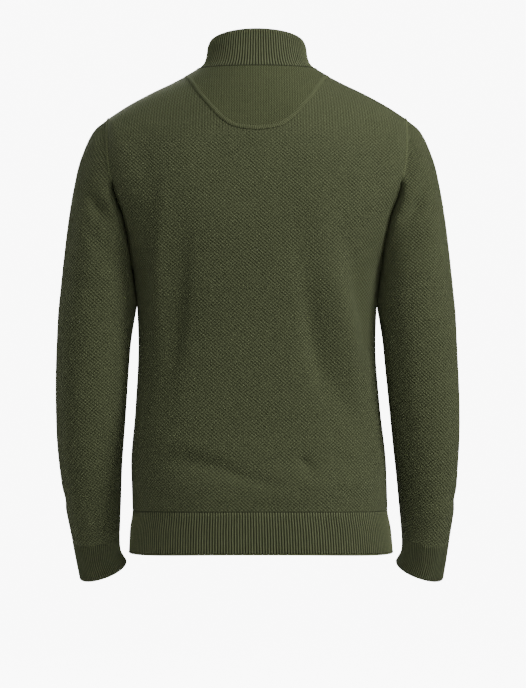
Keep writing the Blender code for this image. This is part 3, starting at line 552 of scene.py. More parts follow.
@dataclass
class SleeveForm:
    """The left sleeve from the armhole to the cuff's edge; the right one is its mirror image."""

    body: BodyForm
    cuff_ring: float = 13.0
    last_ring: float = 15.0
    armhole_reach: float = 3.0
    squareness: float = 2.1
    slope: float = 0.35
    creases_from: float = 1.6
    creases_to: float = 2.0

    def ring(self, number: Array, around: Array) -> Array:
        """Points of plain rings, before the armhole's own shape is added."""
        x0, z0, x1, z1, mid_y, half_depth, drop = (
            flowing(column(SLEEVE, item.name), number) for item in fields(SleeveRing))
        angle = 2 * math.pi * around
        power = 2.0 / self.squareness
        inward = np.sign(np.cos(angle)) * np.abs(np.cos(angle)) ** power
        backward = np.sign(np.sin(angle)) * np.abs(np.sin(angle)) ** power
        x = (x0 + x1) / 2 - inward * (x0 - x1) / 2
        z = (z0 + z1) / 2 - inward * (z0 - z1) / 2 - backward * drop
        return np.stack([x, mid_y + backward * half_depth, z], axis=-1)

    def armhole(self, around: Array) -> Array:
        """The body's armhole edge, counted round as a sleeve ring is."""
        back, height = up_armhole(np.mod(around, 1.0))
        return self.body.point(1.0 + height, np.where(back, 0.0, 4.0 - HAIR))

    def edge_groove(self, around: Array) -> Array:
        """How far the armhole seam is sunk at places round it."""
        back, height = up_armhole(np.mod(around, 1.0))
        _, edge_y, _ = self.body.edge(1.0 + height, back)
        sunk = self.body.groove(1.0 + height, edge_y)
        return np.stack([0 * sunk, sunk, 0 * sunk], axis=-1)

    def point(self, number: Array | float, around: Array | float) -> Array:
        """The outer face of the sleeve.

        Args:
            number: ring numbers, 0 at the armhole and 15 at the cuff's edge.
            around: 0 underarm, 0.25 back, 0.5 outside, 0.75 front.

        Returns:
            The points, with one more axis of three.
        """
        number, around = paired(number, around)
        around = np.mod(around, 1.0)
        points = self.ring(number, around)
        fade = np.maximum(1.0 - number / self.armhole_reach, 0.0) ** 2
        edge = self.armhole(around)
        sunk = self.edge_groove(around)
        moved = edge + sunk - self.ring(np.zeros(number.shape), around)
        points = points + moved * fade[..., None]
        gap = np.linalg.norm(points - edge - sunk, axis=-1)
        near = np.exp(-(gap / self.body.sleeve_groove_width) ** 2)
        points = points - sunk * near[..., None]
        middle = (self.ring(number, np.zeros(around.shape))
                  + self.ring(number, np.full(around.shape, 0.5))) / 2
        outward = unit((points - middle) * np.array([1.0, 1.0, self.slope]))
        rise = crease_rise(SLEEVE_CREASES, around * ROUND_SCALE, points[..., 2])
        rise = rise * ease(number / self.creases_from)
        rise = rise * ease((self.last_ring - number) / self.creases_to)
        return points + outward * rise[..., None]


@dataclass(frozen=True)
class CollarRing:
    """A ring of the stand collar, from neck seam (rise 0) to top edge (rise 1)."""

    rise: float
    side_x: float
    side_z: float
    back_y: float
    back_z: float
    front_y: float
    front_z: float


COLLAR = (
    CollarRing(0.0, 0.0850, -0.0040, 0.0585, -0.0050, -0.0880, -0.0580),
    CollarRing(0.2, 0.0760, 0.0045, 0.0545, 0.0060, -0.0855, -0.0475),
    CollarRing(0.5, 0.0723, 0.0155, 0.0505, 0.0225, -0.0815, -0.0300),
    CollarRing(0.8, 0.0708, 0.0265, 0.0482, 0.0388, -0.0780, -0.0135),
    CollarRing(1.0, 0.0682, 0.0330, 0.0466, 0.0497, -0.0755, -0.0030),
)


@dataclass
class CollarForm:
    """The outer face of the stand collar, read by rise and turn."""

    curves: dict[str, RisingCurve] = field(default_factory=dict)

    def __post_init__(self) -> None:
        """Prepares the curves through the table."""
        for item in fields(CollarRing)[1:]:
            self.curves[item.name] = RisingCurve(column(COLLAR, "rise"), column(COLLAR, item.name))

    def point(self, rise: Array | float, turn: Array | float) -> Array:
        """Points of the collar, turn 1 at the centre back and 3 at the centre front."""
        rise, turn = paired(rise, turn)
        at = {name: curve(rise) for name, curve in self.curves.items()}
        angle = turn * math.pi / 2
        back = np.sin(angle) >= 0
        turned = np.abs(np.sin(angle))
        centre_y = np.where(back, at["back_y"], at["front_y"])
        centre_z = np.where(back, at["back_z"], at["front_z"])
        z = at["side_z"] + (centre_z - at["side_z"]) * turned
        return np.stack([at["side_x"] * np.cos(angle), centre_y * turned, z], axis=-1)

    def front_turn(self, rise: Array, half_width: float) -> Array:
        """How far past the side the collar runs to end half_width from the centre front."""
        return np.arccos(half_width / self.curves["side_x"](rise)) / (math.pi / 2)


# ================================================================ finishes
class Slot(Enum):
    """The record's material slots."""

    MOSS = "moss_knit"
    RIB = "rib_knit"
    TAPE = "zip_tape"
    METAL = "zip_metal"


def new_group(name: str, numbers: dict[str, float],
              outputs: tuple[str, ...]) -> tuple[Tree, Node, Node]:
    """An empty node group that reads a place and some numbers.

    Args:
        name: the group's name.
        numbers: each number's name and default value.
        outputs: the names of its results.

    Returns:
        The group, its input node and its output node.
    """
    group = bpy.data.node_groups.new(name, "ShaderNodeTree")
    group.interface.new_socket("Place", in_out="INPUT", socket_type="NodeSocketVector")
    for label, value in numbers.items():
        socket = group.interface.new_socket(label, in_out="INPUT", socket_type="NodeSocketFloat")
        socket.default_value = value
    for label in outputs:
        group.interface.new_socket(label, in_out="OUTPUT", socket_type="NodeSocketFloat")
    return group, group.nodes.new("NodeGroupInput"), group.nodes.new("NodeGroupOutput")


class Wiring:
    """Short ways to add nodes to one node tree."""

    def __init__(self, tree: Tree) -> None:
        """Keeps the tree."""
        self.tree = tree

    def put(self, value: object, socket: Socket) -> None:
        """Links a socket, or sets a plain value."""
        if isinstance(value, Socket):
            self.tree.links.new(value, socket)
        else:
            socket.default_value = value

    def math(self, operation: str, first: object, second: object = None,
             third: object = None) -> Socket:
        """One Math node.

        Args:
            operation: the node's operation.
            first: a socket or number.
            second: a socket or number, if the operation takes it.
            third: a socket or number, if the operation takes it.

        Returns:
            The result's socket.
        """
        node = self.tree.nodes.new("ShaderNodeMath")
        node.operation = operation
        for number, value in enumerate((first, second, third)):
            if value is not None:
                self.put(value, node.inputs[number])
        return node.outputs[0]

    def plus(self, first: object, second: object) -> Socket:
        """The sum of two values."""
        return self.math("ADD", first, second)

    def less(self, first: object, second: object) -> Socket:
        """The first value less the second."""
        return self.math("SUBTRACT", first, second)

    def times(self, first: object, second: object) -> Socket:
        """The product of two values."""
        return self.math("MULTIPLY", first, second)

    def over(self, first: object, second: object) -> Socket:
        """The first value divided by the second."""
        return self.math("DIVIDE", first, second)

    def wave(self, turns: object) -> Socket:
        """The cosine of a number of turns."""
        return self.math("COSINE", self.times(turns, 2 * math.pi))

    def halved(self, value: object) -> Socket:
        """A value from -1 to 1, brought to 0 to 1."""
        return self.math("MULTIPLY_ADD", value, 0.5, 0.5)

    def noise(self, vector: object, scale: float, detail: float = 2.0,
              rough: float = 0.5) -> Socket:
        """A Noise texture's value, about 0.5."""
        node = self.tree.nodes.new("ShaderNodeTexNoise")
        self.put(vector, node.inputs["Vector"])
        node.inputs["Scale"].default_value = scale
        node.inputs["Detail"].default_value = detail
        node.inputs["Roughness"].default_value = rough
        return node.outputs["Fac"]

    def stretched(self, vector: object, scale: Point) -> Socket:
        """The vector scaled by a Mapping node."""
        node = self.tree.nodes.new("ShaderNodeMapping")
        self.put(vector, node.inputs["Vector"])
        node.inputs["Scale"].default_value = scale
        return node.outputs["Vector"]

    def parted(self, vector: object) -> tuple[Socket, ...]:
        """The x, y and z of a vector."""
        node = self.tree.nodes.new("ShaderNodeSeparateXYZ")
        self.put(vector, node.inputs[0])
        return tuple(node.outputs)

    def blend(self, share: object, first: object, second: object,
              kind: str = "MIX") -> Socket:
        """A colour mixed from two."""
        node = self.tree.nodes.new("ShaderNodeMix")
        node.data_type = "RGBA"
        node.blend_type = kind
        colours = [s for s in node.inputs if s.type == "RGBA"]
        self.put(share, node.inputs[0])
        self.put(first, colours[0])
        self.put(second, colours[1])
        return next(s for s in node.outputs if s.type == "RGBA")

    def ranged(self, value: object, low: float, high: float, first: float,
               last: float) -> Socket:
        """A value carried smoothly from one range to another."""
        node = self.tree.nodes.new("ShaderNodeMapRange")
        node.interpolation_type = "SMOOTHSTEP"
        self.put(value, node.inputs["Value"])
        for label, number in (("From Min", low), ("From Max", high), ("To Min", first),
                              ("To Max", last)):
            node.inputs[label].default_value = number
        return node.outputs["Result"]

    def group(self, group: Tree, **values: object) -> dict:
        """A group placed here with its own values.

        Args:
            group: the node group.
            **values: input names, with _ for a space, to sockets or numbers.

        Returns:
            Output name to socket.
        """
        node = self.tree.nodes.new("ShaderNodeGroup")
        node.node_tree = group
        for label, value in values.items():
            self.put(value, node.inputs[label.replace("_", " ")])
        return {s.name: s for s in node.outputs}


def yarn_group() -> Tree:
    """The yarn's uneven tone and fuzz: flecks, streaks along the courses and broad patches."""
    numbers = {"Flecks": 0.3, "Streaks": 0.2, "Patches": 0.15}
    group, enter, leave = new_group("yarn", numbers, ("Tone", "Fuzz"))
    wire = Wiring(group)
    place = enter.outputs["Place"]
    fleck = wire.noise(place, 620.0, 3.0, 0.6)
    streak = wire.noise(wire.stretched(place, (9.0, 210.0, 1.0)), 1.0, 3.0, 0.6)
    patch = wire.noise(place, 16.0, 2.0)
    tone = 0.5
    for value, amount in ((fleck, "Flecks"), (streak, "Streaks"), (patch, "Patches")):
        part = wire.times(wire.less(value, 0.5), enter.outputs[amount])
        tone = wire.plus(part, tone)
    group.links.new(tone, leave.inputs["Tone"])
    group.links.new(wire.noise(place, 2600.0, 2.0, 0.7), leave.inputs["Fuzz"])
    return group


def moss_group() -> Tree:
    """Moss stitch: raised and sunk stitches by turns, uneven, and drawn to ribs by Ribbing."""
    numbers = {"Wale": 0.0028, "Course": 0.0025, "Ribbing": 0.0, "Rib Pitch": 0.0042}
    group, enter, leave = new_group("moss_stitch", numbers, ("Height",))
    wire = Wiring(group)
    place = enter.outputs["Place"]
    across, up, _ = wire.parted(place)
    sway = wire.times(wire.less(wire.noise(place, 42.0, 1.0), 0.5), 0.0009)
    across = wire.plus(across, sway)
    wale = wire.over(wire.times(across, math.pi), enter.outputs["Wale"])
    course = wire.over(wire.times(up, math.pi), enter.outputs["Course"])
    down = wire.math("COSINE", wire.plus(wale, course))
    rising = wire.math("COSINE", wire.less(wale, course))
    lean = wire.ranged(wire.noise(place, 60.0, 2.0), 0.36, 0.60, 0.36, 0.66)
    moss = wire.plus(wire.times(down, lean), wire.times(rising, wire.less(1.0, lean)))
    patchy = wire.ranged(wire.noise(wire.stretched(place, (1.0, 0.7, 1.0)), 85.0, 2.0),
                         0.34, 0.62, 0.75, 1.12)
    moss = wire.times(moss, patchy)
    rib = wire.over(wire.times(across, 2 * math.pi), enter.outputs["Rib Pitch"])
    rib = wire.math("COSINE", rib)
    rib = wire.times(rib, wire.times(patchy, 0.8))
    drawn = wire.times(wire.less(rib, moss), enter.outputs["Ribbing"])
    both = wire.plus(moss, drawn)
    group.links.new(wire.halved(both), leave.inputs["Height"])
    return group


def rib_group() -> Tree:
    """Ribs with the small V-shaped loops that stand on each ridge."""
    numbers = {"Pitch": 0.004, "Course": 0.0018}
    group, enter, leave = new_group("rib_stitch", numbers, ("Ridge", "Loops"))
    wire = Wiring(group)
    across, up, _ = wire.parted(enter.outputs["Place"])
    turns = wire.over(across, enter.outputs["Pitch"])
    ridge = wire.wave(turns)
    beside = wire.math("ABSOLUTE", wire.less(wire.math("FRACT", wire.plus(turns, 0.5)), 0.5))
    slope = wire.times(beside, 2.4)
    loops = wire.wave(wire.plus(wire.over(up, enter.outputs["Course"]), slope))
    group.links.new(wire.halved(ridge), leave.inputs["Ridge"])
    group.links.new(wire.halved(loops), leave.inputs["Loops"])
    return group


def scratch_group() -> Tree:
    """Fine scratches and rubbed places of small metal parts."""
    group, enter, leave = new_group("rubbed_metal", {"Amount": 0.5}, ("Rub", "Height"))
    wire = Wiring(group)
    place = enter.outputs["Place"]
    lines = wire.noise(wire.stretched(place, (2400.0, 2400.0, 260.0)), 1.0, 3.0, 0.7)
    spots = wire.noise(place, 420.0, 4.0, 0.6)
    both = wire.times(wire.plus(lines, spots), enter.outputs["Amount"])
    group.links.new(both, leave.inputs["Rub"])
    group.links.new(lines, leave.inputs["Height"])
    return group


class Finish:
    """A material under construction: its wiring and its shader."""

    def __init__(self, name: str) -> None:
        """Starts an empty material with a Principled shader."""
        self.material = bpy.data.materials.new(name)
        self.material.use_nodes = True
        self.wire = Wiring(self.material.node_tree)
        self.shader = self.material.node_tree.nodes["Principled BSDF"]

    def node(self, kind: str) -> Node:
        """A new node of the material."""
        return self.material.node_tree.nodes.new(kind)

    def cloth_place(self) -> Socket:
        """The place in the flat cut, in metres."""
        node = self.node("ShaderNodeUVMap")
        node.uv_map = CLOTH_MAP
        return node.outputs["UV"]

    def object_place(self) -> Socket:
        """The place in the frame, in metres."""
        return self.node("ShaderNodeTexCoord").outputs["Object"]

    def colour(self, value: object) -> None:
        """Sets or links the base colour."""
        self.wire.put(value, self.shader.inputs["Base Color"])

    def bump(self, height: object, depth: float, strength: float) -> None:
        """Raises the surface by a height map."""
        node = self.node("ShaderNodeBump")
        node.inputs["Distance"].default_value = depth
        node.inputs["Strength"].default_value = strength
        self.wire.put(height, node.inputs["Height"])
        self.wire.put(node.outputs["Normal"], self.shader.inputs["Normal"])

    def set(self, **values: object) -> None:
        """Sets plain values on the shader's own sockets."""
        for label, value in values.items():
            self.shader.inputs[label.replace("_", " ")].default_value = value

    def tinted(self, shade: object, tone: object) -> None:
        """Colours the surface with a shade made lighter or darker by a tone."""
        grey = self.node("ShaderNodeCombineColor")
        for number in range(3):
            self.wire.put(tone, grey.inputs[number])
        self.colour(self.wire.blend(1.0, shade, grey.outputs[0], "MULTIPLY"))

    def woolly(self) -> None:
        """Gives the surface the matt, slightly hairy look of the yarn."""
        self.set(Roughness=0.95, Sheen_Weight=0.10, Sheen_Roughness=0.5,
                 Sheen_Tint=(0.62, 0.70, 0.42, 1.0), Specular_IOR_Level=0.15)


@dataclass(frozen=True)
class KnitFinish:
    """Olive knit in a fine heathered yarn, as moss stitch or as a plain fine rib."""

    name: str
    # The valley colour is painted shade in the dips between stitches and the ridge colour the
    # lighter tops; the yarn's own uneven tone comes from the yarn group.
    valley: Colour = (0.031, 0.0358, 0.0174, 1.0)
    ridge: Colour = (0.0865, 0.0992, 0.0491, 1.0)
    wale: float = 0.0028
    course: float = 0.0025
    relief: float = 0.0008
    rib_pitch: float = 0.0042
    yoke_ribbing: float = 0.62
    yoke_low: float = YOKE_LOW
    yoke_high: float = YOKE_HIGH

    def build(self, groups: dict[str, Tree]) -> Material:
        """Makes the material from the shared groups."""
        made = Finish(self.name)
        wire = made.wire
        place = made.cloth_place()
        _, _, height = wire.parted(made.object_place())
        ribbing = wire.ranged(height, self.yoke_low, self.yoke_high, 0.0, self.yoke_ribbing)
        stitch = wire.group(groups["moss"], Place=place, Wale=self.wale, Course=self.course,
                            Ribbing=ribbing, Rib_Pitch=self.rib_pitch)["Height"]
        yarn = wire.group(groups["yarn"], Place=place, Flecks=0.9, Streaks=0.12, Patches=0.12)
        # Painted shade: the stitch height darkens the dips between stitches and lightens their
        # tops.
        shade = wire.blend(wire.math("POWER", stitch, 0.9), self.valley, self.ridge)
        made.tinted(shade, wire.math("MULTIPLY_ADD", yarn["Tone"], 1.1, 0.45))
        made.bump(wire.math("MULTIPLY_ADD", yarn["Fuzz"], 0.35, stitch), self.relief, 0.85)
        made.woolly()
        return made.material


@dataclass(frozen=True)
class RibFinish:
    """The same yarn knitted as ribs."""

    name: str
    pitch: float
    course: float = 0.0019
    # The valley colour is painted shade in the grooves between ribs and the ridge colour the
    # lighter rib tops.
    valley: Colour = (0.012, 0.014, 0.0065, 1.0)
    ridge: Colour = (0.144, 0.163, 0.0830, 1.0)
    loop_shade: float = 0.35

    def build(self, groups: dict[str, Tree]) -> Material:
        """Makes the material from the shared groups."""
        made = Finish(self.name)
        wire = made.wire
        place = made.cloth_place()
        rib = wire.group(groups["rib"], Place=place, Pitch=self.pitch, Course=self.course)
        yarn = wire.group(groups["yarn"], Place=place, Flecks=0.8, Streaks=0.15, Patches=0.2)
        loops = wire.math("MULTIPLY_ADD", rib["Loops"], self.loop_shade, 1.0 - self.loop_shade)
        # Painted shade: the rib grooves and the dips between loops are coloured dark, the rib tops
        # lighter.
        shade = wire.blend(wire.times(rib["Ridge"], loops), self.valley, self.ridge)
        made.tinted(shade, wire.math("MULTIPLY_ADD", yarn["Tone"], 1.0, 0.5))
        loop_height = wire.times(rib["Loops"], 0.5)
        hairy = wire.math("MULTIPLY_ADD", yarn["Fuzz"], 0.3, loop_height)
        raised = wire.plus(hairy, wire.times(rib["Ridge"], 0.6))
        made.bump(raised, 0.0006, 0.7)
        made.woolly()
        return made.material


@dataclass(frozen=True)
class SeamFinish:
    """Linking yarn of the seams: twisted loops a little lighter than the cloth."""

    name: str = "linked_seam"
    dark: Colour = (0.030, 0.034, 0.0165, 1.0)
    light: Colour = (0.110, 0.125, 0.0620, 1.0)
    loop: float = 0.0026
    slant: float = 180.0

    def build(self, groups: dict[str, Tree]) -> Material:
        """Makes the material from the shared groups."""
        made = Finish(self.name)
        wire = made.wire
        place = made.cloth_place()
        across, up, _ = wire.parted(place)
        slant = wire.plus(wire.over(up, self.loop), wire.times(across, self.slant))
        twist = wire.halved(wire.wave(slant))
        yarn = wire.group(groups["yarn"], Place=place, Flecks=0.6, Streaks=0.0, Patches=0.3)
        share = wire.times(twist, wire.plus(yarn["Tone"], 0.4))
        made.colour(wire.blend(share, self.dark, self.light))
        made.bump(wire.math("MULTIPLY_ADD", yarn["Fuzz"], 0.3, twist), 0.0004, 0.8)
        made.woolly()
        return made.material


@dataclass(frozen=True)
class TapeFinish:
    """Woven zip tape: fine diagonal twill, matt."""

    name: str = "woven_zip_tape"
    dark: Colour = (0.016, 0.018, 0.010, 1.0)
    light: Colour = (0.060, 0.064, 0.036, 1.0)
    thread: float = 0.0007

    def build(self, groups: dict[str, Tree]) -> Material:
        """Makes the material from the shared groups."""
        made = Finish(self.name)
        wire = made.wire
        place = made.cloth_place()
        across, up, _ = wire.parted(place)
        warp = wire.math("COSINE", wire.times(across, 2 * math.pi / self.thread))
        slant = wire.plus(up, wire.times(across, 0.7))
        weft = wire.math("COSINE", wire.times(slant, 2 * math.pi / self.thread))
        weave = wire.halved(wire.times(warp, weft))
        yarn = wire.group(groups["yarn"], Place=place, Flecks=0.5, Streaks=0.2, Patches=0.2)
        share = wire.times(weave, wire.plus(yarn["Tone"], 0.35))
        made.colour(wire.blend(share, self.dark, self.light))
        made.bump(weave, 0.0002, 0.7)
        made.set(Roughness=0.8, Sheen_Weight=0.1, Specular_IOR_Level=0.3)
        return made.material


@dataclass(frozen=True)
class MetalFinish:
    """Dull dark metal, rubbed lighter in places."""

    name: str
    base: Colour = (0.20, 0.19, 0.165, 1.0)
    rubbed: Colour = (0.46, 0.44, 0.39, 1.0)
    smooth: float = 0.28
    rough: float = 0.48

    def build(self, groups: dict[str, Tree]) -> Material:
        """Makes the material from the shared groups."""
        made = Finish(self.name)
        wire = made.wire
        rub = wire.group(groups["rubbed"], Place=made.object_place(), Amount=0.5)
        worn = wire.ranged(rub["Rub"], 0.38, 0.62, 0.0, 1.0)
        made.colour(wire.blend(worn, self.base, self.rubbed))
        wire.put(wire.ranged(rub["Rub"], 0.35, 0.65, self.rough, self.smooth),
                 made.shader.inputs["Roughness"])
        made.bump(rub["Height"], 0.00003, 0.5)
        made.set(Metallic=1.0)
        return made.material


@dataclass(frozen=True)
class FloorFinish:
    """The studio's pale matt floor and wall, very slightly mottled."""

    name: str = "studio_floor"
    low: Colour = (0.80, 0.80, 0.79, 1.0)
    high: Colour = (0.86, 0.86, 0.855, 1.0)
    glow: float = 9.0

    def build(self) -> Material:
        """Makes the material."""
        made = Finish(self.name)
        cloud = made.wire.noise(made.object_place(), 0.7, 2.0)
        made.colour(made.wire.blend(cloud, self.low, self.high))
        seen = made.node("ShaderNodeLightPath").outputs["Is Camera Ray"]
        made.wire.put(made.wire.times(seen, self.glow),
                      made.shader.inputs["Emission Strength"])
        made.set(Roughness=0.95, Specular_IOR_Level=0.1, Emission_Color=(1.0, 1.0, 1.0, 1.0))
        return made.material


@dataclass
class Finishes:
    """Every finish of the garment, each built once."""

    groups: dict[str, Tree] = field(default_factory=dict)
    made: dict[str, Material] = field(default_factory=dict)

    def __post_init__(self) -> None:
        """Builds the shared groups and the materials."""
        self.groups = {"yarn": yarn_group(), "moss": moss_group(), "rib": rib_group(),
                       "rubbed": scratch_group()}
        kinds = {
            "moss": KnitFinish("moss_stitch_knit"),
            "patch": KnitFinish("fine_patch_knit", valley=(0.017, 0.020, 0.0094, 1.0),
                                ridge=(0.092, 0.106, 0.050, 1.0), wale=0.0017, course=0.0020,
                                relief=0.0007, rib_pitch=0.0037, yoke_ribbing=0.40,
                                yoke_low=-0.5, yoke_high=-0.4),
            "hem_rib": RibFinish("hem_rib_knit", pitch=HEM_RIB_PITCH),
            "cuff_rib": RibFinish("cuff_rib_knit", pitch=CUFF_RIB_PITCH,
                                  valley=(0.018, 0.0210, 0.0100, 1.0),
                                  ridge=(0.098, 0.112, 0.0560, 1.0)),
            "collar_rib": RibFinish("collar_rib_knit", pitch=COLLAR_RIB_PITCH,
                                    ridge=(0.143, 0.162, 0.0840, 1.0)),
            "seam": SeamFinish(),
            # A near-black seam finish: in the lower armhole groove its darkness is painted shade;
            # at the hem and neck seams it colours the seam line dark.
            "sunk_seam": SeamFinish("sunk_seam", dark=(0.010, 0.012, 0.0055, 1.0),
                                    light=(0.040, 0.046, 0.0220, 1.0)),
            "edge_seam": SeamFinish("edge_seam", dark=(0.044, 0.051, 0.0245, 1.0),
                                    light=(0.104, 0.118, 0.0582, 1.0)),
            # A seam yarn lighter than the others: the extra lightness is a painted highlight of
            # edges that catch the light.
            "light_seam": SeamFinish("light_seam", dark=(0.038, 0.044, 0.0210, 1.0),
                                     light=(0.128, 0.146, 0.0720, 1.0)),
            "tape": TapeFinish(),
            "teeth": MetalFinish("dull_zip_teeth"),
            "slider": MetalFinish("dull_zip_slider", base=(0.17, 0.16, 0.14, 1.0)),
        }
        for name, finish in kinds.items():
            self.made[name] = finish.build(self.groups)

    def __getitem__(self, name: str) -> Material:
        """A finish by its short name."""
        return self.made[name]


# ================================================================ laying cloth
@dataclass
class Lay:
    """A piece of cloth as a grid: its points, its place in the flat cut and its relief."""

    places: Array
    flat: Array
    relief: Array

    def on_side(self, side: str) -> "Lay":
        """A piece of the left side on either side, moved over by the garment's lean."""
        flip = 1.0 if side == "left" else -1.0
        return Lay(leaned(self.places * (flip, 1.0, 1.0)), self.flat, self.relief)


class Shading(Enum):
    """How a piece's faces are shaded."""

    SMOOTH = "smooth"
    FACETED = "faceted"


def make_object(name: str, bm: Sheet, finish: Material,
                shading: Shading = Shading.SMOOTH) -> Piece:
    """Turns a finished bmesh into an object of the scene.

    Args:
        name: the piece's name.
        bm: its bmesh, which is freed.
        finish: its material.
        shading: smooth or faceted.

    Returns:
        The new object, at the origin.
    """
    mesh = bpy.data.meshes.new(name)
    bm.to_mesh(mesh)
    bm.free()
    mesh.materials.append(finish)
    if shading is Shading.SMOOTH:
        mesh.shade_smooth()
        mesh.set_sharp_from_angle(angle=SHARP)
    else:
        mesh.shade_flat()
    made = bpy.data.objects.new(name, mesh)
    bpy.context.scene.collection.objects.link(made)
    return made


def grid_mesh(places: Array, flat: Array) -> Sheet:
    """A sheet of faces through a grid of points.

    Args:
        places: the points, row by row.
        flat: each point's place in the flat cut.

    Returns:
        The sheet. Each vertex's index is its number in the grid.
    """
    rows, columns = places.shape[0] - 1, places.shape[1] - 1
    bm = bmesh.new()
    bmesh.ops.create_grid(bm, x_segments=columns, y_segments=rows, size=0.5)
    cloth = bm.loops.layers.uv.new(CLOTH_MAP)
    for vert in bm.verts:
        i = int(round((vert.co.x + 0.5) * columns))
        j = int(round((vert.co.y + 0.5) * rows))
        vert.index = j * (columns + 1) + i
    for face in bm.faces:
        for loop in face.loops:
            loop[cloth].uv = flat[divmod(loop.vert.index, columns + 1)]
    for vert in bm.verts:
        vert.co = places[divmod(vert.index, columns + 1)]
    return bm


def facing_share(bm: Sheet, outward: Vector) -> float:
    """How far a sheet faces outward: below zero where its faces are turned in.

    Args:
        bm: the sheet.
        outward: the direction its middle should face, or zero for a tube.

    Returns:
        The summed area that faces outward, or away from a tube's middle.
    """
    if outward.length > 0:
        facing = Vector((0.0, 0.0, 0.0))
        for face in bm.faces:
            facing += face.normal * face.calc_area()
        return facing.dot(outward)
    middle = sum((v.co for v in bm.verts), Vector((0.0, 0.0, 0.0))) / len(bm.verts)
    return sum(f.normal.dot(f.calc_center_median() - middle) * f.calc_area() for f in bm.faces)


def lay_cloth(name: str, lay: Lay, finish: Material, wall: float, outward: Vector,
              shading: Shading = Shading.SMOOTH, lift: float = 0.0) -> Piece:
    """A piece of cloth from its grid, given its wall inwards.

    Args:
        name: the piece's name.
        lay: its grid.
        finish: its material.
        wall: the cloth's thickness.
        outward: a direction that the middle of the piece faces, or zero for a tube.
        shading: smooth or faceted.
        lift: how far the whole piece stands off the form.

    Returns:
        The new object.
    """
    bm = grid_mesh(lay.places, lay.flat)
    relief = bm.verts.layers.float.new("relief")
    for vert in bm.verts:
        vert[relief] = lay.relief.flat[vert.index]
    bmesh.ops.remove_doubles(bm, verts=bm.verts[:], dist=SAME_PLACE)
    bmesh.ops.dissolve_degenerate(bm, edges=bm.edges[:], dist=SAME_PLACE / 2)
    if shading is Shading.FACETED:
        bmesh.ops.connect_verts(bm, verts=[vert for vert in bm.verts if vert[relief] < 0])
    bm.normal_update()
    if facing_share(bm, outward) < 0:
        bmesh.ops.reverse_faces(bm, faces=bm.faces[:])
        bm.normal_update()
    moves = [(vert, vert.normal * (vert[relief] + lift)) for vert in bm.verts]
    for vert, move in moves:
        vert.co += move
    made = make_object(name, bm, finish, shading)
    thick = made.modifiers.new("cloth_wall", "SOLIDIFY")
    thick.thickness = wall
    thick.offset = -1.0
    return made


@dataclass
class Sections:
    """The level lines of a form: its table of points, cut at each course's height.

    The table runs up the form along its first axis and across the piece along its second.
    """

    table: Array
    stations: Array

    def cut(self, heights: Array) -> tuple[Array, Array]:
        """Cuts the form.

        Args:
            heights: the height of each course (first axis) at each column of the table.

        Returns:
            The points of each course, and the station up the form of each point.
        """
        rows, columns = heights.shape
        points = np.zeros((rows, columns, 3))
        found = np.zeros((rows, columns))
        for k in range(columns):
            rising = np.maximum.accumulate(self.table[:, k, 2] + np.arange(len(self.table)) * HAIR)
            found[:, k] = np.interp(heights[:, k], rising, self.stations)
            points[:, k] = spots_on(self.table[:, k], self.stations, found[:, k])
        return points, found


@dataclass(frozen=True)
class Stitches:
    """The size of one stitch and how far it stands up or sinks."""

    wale: float = 0.0028
    course: float = 0.0025
    relief: float = 0.00031
    edge_fade: float = 0.004
    looseness: float = 0.09
    snap: float = 0.35
    uneven: float = 0.25
    least: float = 0.2
    most_sway: float = 1.6
    seed: int = 7

    def knit(self, points: Array, along: Array, low: Array, high: Array, first: int, last: int,
             ribbing: Array | None = None) -> Lay:
        """Puts a stitch at each crossing of the courses with evenly spaced wales.

        Args:
            points: the points of each course across the piece.
            along: their distances along the course, rising.
            low: where each course starts, as such a distance.
            high: where it ends.
            first: number of the first wale.
            last: number of the last wale.
            ribbing: how far each course is drawn from moss stitch towards ribs.

        Returns:
            The piece's grid. Stitches past a course's ends lie on its ends.
        """
        rows = len(points)
        numbers = np.arange(first, last + 1)
        places = np.zeros((rows, len(numbers), 3))
        flat = np.zeros((rows, len(numbers), 2))
        fade = np.zeros((rows, len(numbers)))
        snap = self.snap * self.wale
        for j in range(rows):
            at = numbers * self.wale
            at = np.where(at > high[j] - snap, high[j], at)
            at = np.where(at < low[j] + snap, low[j], at)
            at = np.clip(at, low[j], max(high[j], low[j]))
            places[j] = spots_on(points[j], along[j], at)
            flat[j, :, 0] = at
            flat[j, :, 1] = j * self.course
            fade[j] = np.clip(np.minimum(at - low[j], high[j] - at) / self.edge_fade, 0.0, 1.0)
        fade *= np.clip(np.minimum(np.arange(rows), np.arange(rows)[::-1]) / 2.0, 0.0, 1.0)[:, None]
        wale_sign = np.where(numbers % 2 == 0, 1.0, -1.0)[None, :]
        course_sign = np.where(np.arange(rows) % 2 == 0, 1.0, -1.0)[:, None]
        moss = wale_sign * course_sign
        if ribbing is not None:
            moss = moss * (1.0 - ribbing[:, None])
        chance = np.random.default_rng(self.seed)
        uneven = 1.0 + self.uneven * chance.standard_normal(moss.shape)
        uneven = np.maximum(uneven, self.least) * patchy(flat, self.seed)
        return Lay(self.loosened(places, fade), flat, moss * uneven * fade * self.relief)

    def loosened(self, places: Array, share: Array) -> Array:
        """Moves each stitch a little off its even place, but none on the piece's edges.

        Args:
            places: the stitches' even places.
            share: 0 on the edges and 1 inside.

        Returns:
            Their new places.
        """
        chance = np.random.default_rng(self.seed + 1)
        moved = places.copy()
        for axis in (0, 1):
            step = (np.roll(places, -1, axis) - np.roll(places, 1, axis)) / 2
            sway = np.clip(chance.standard_normal(share.shape), -self.most_sway, self.most_sway)
            sway = sway * self.looseness
            moved += step * (sway * share)[..., None]
        return moved


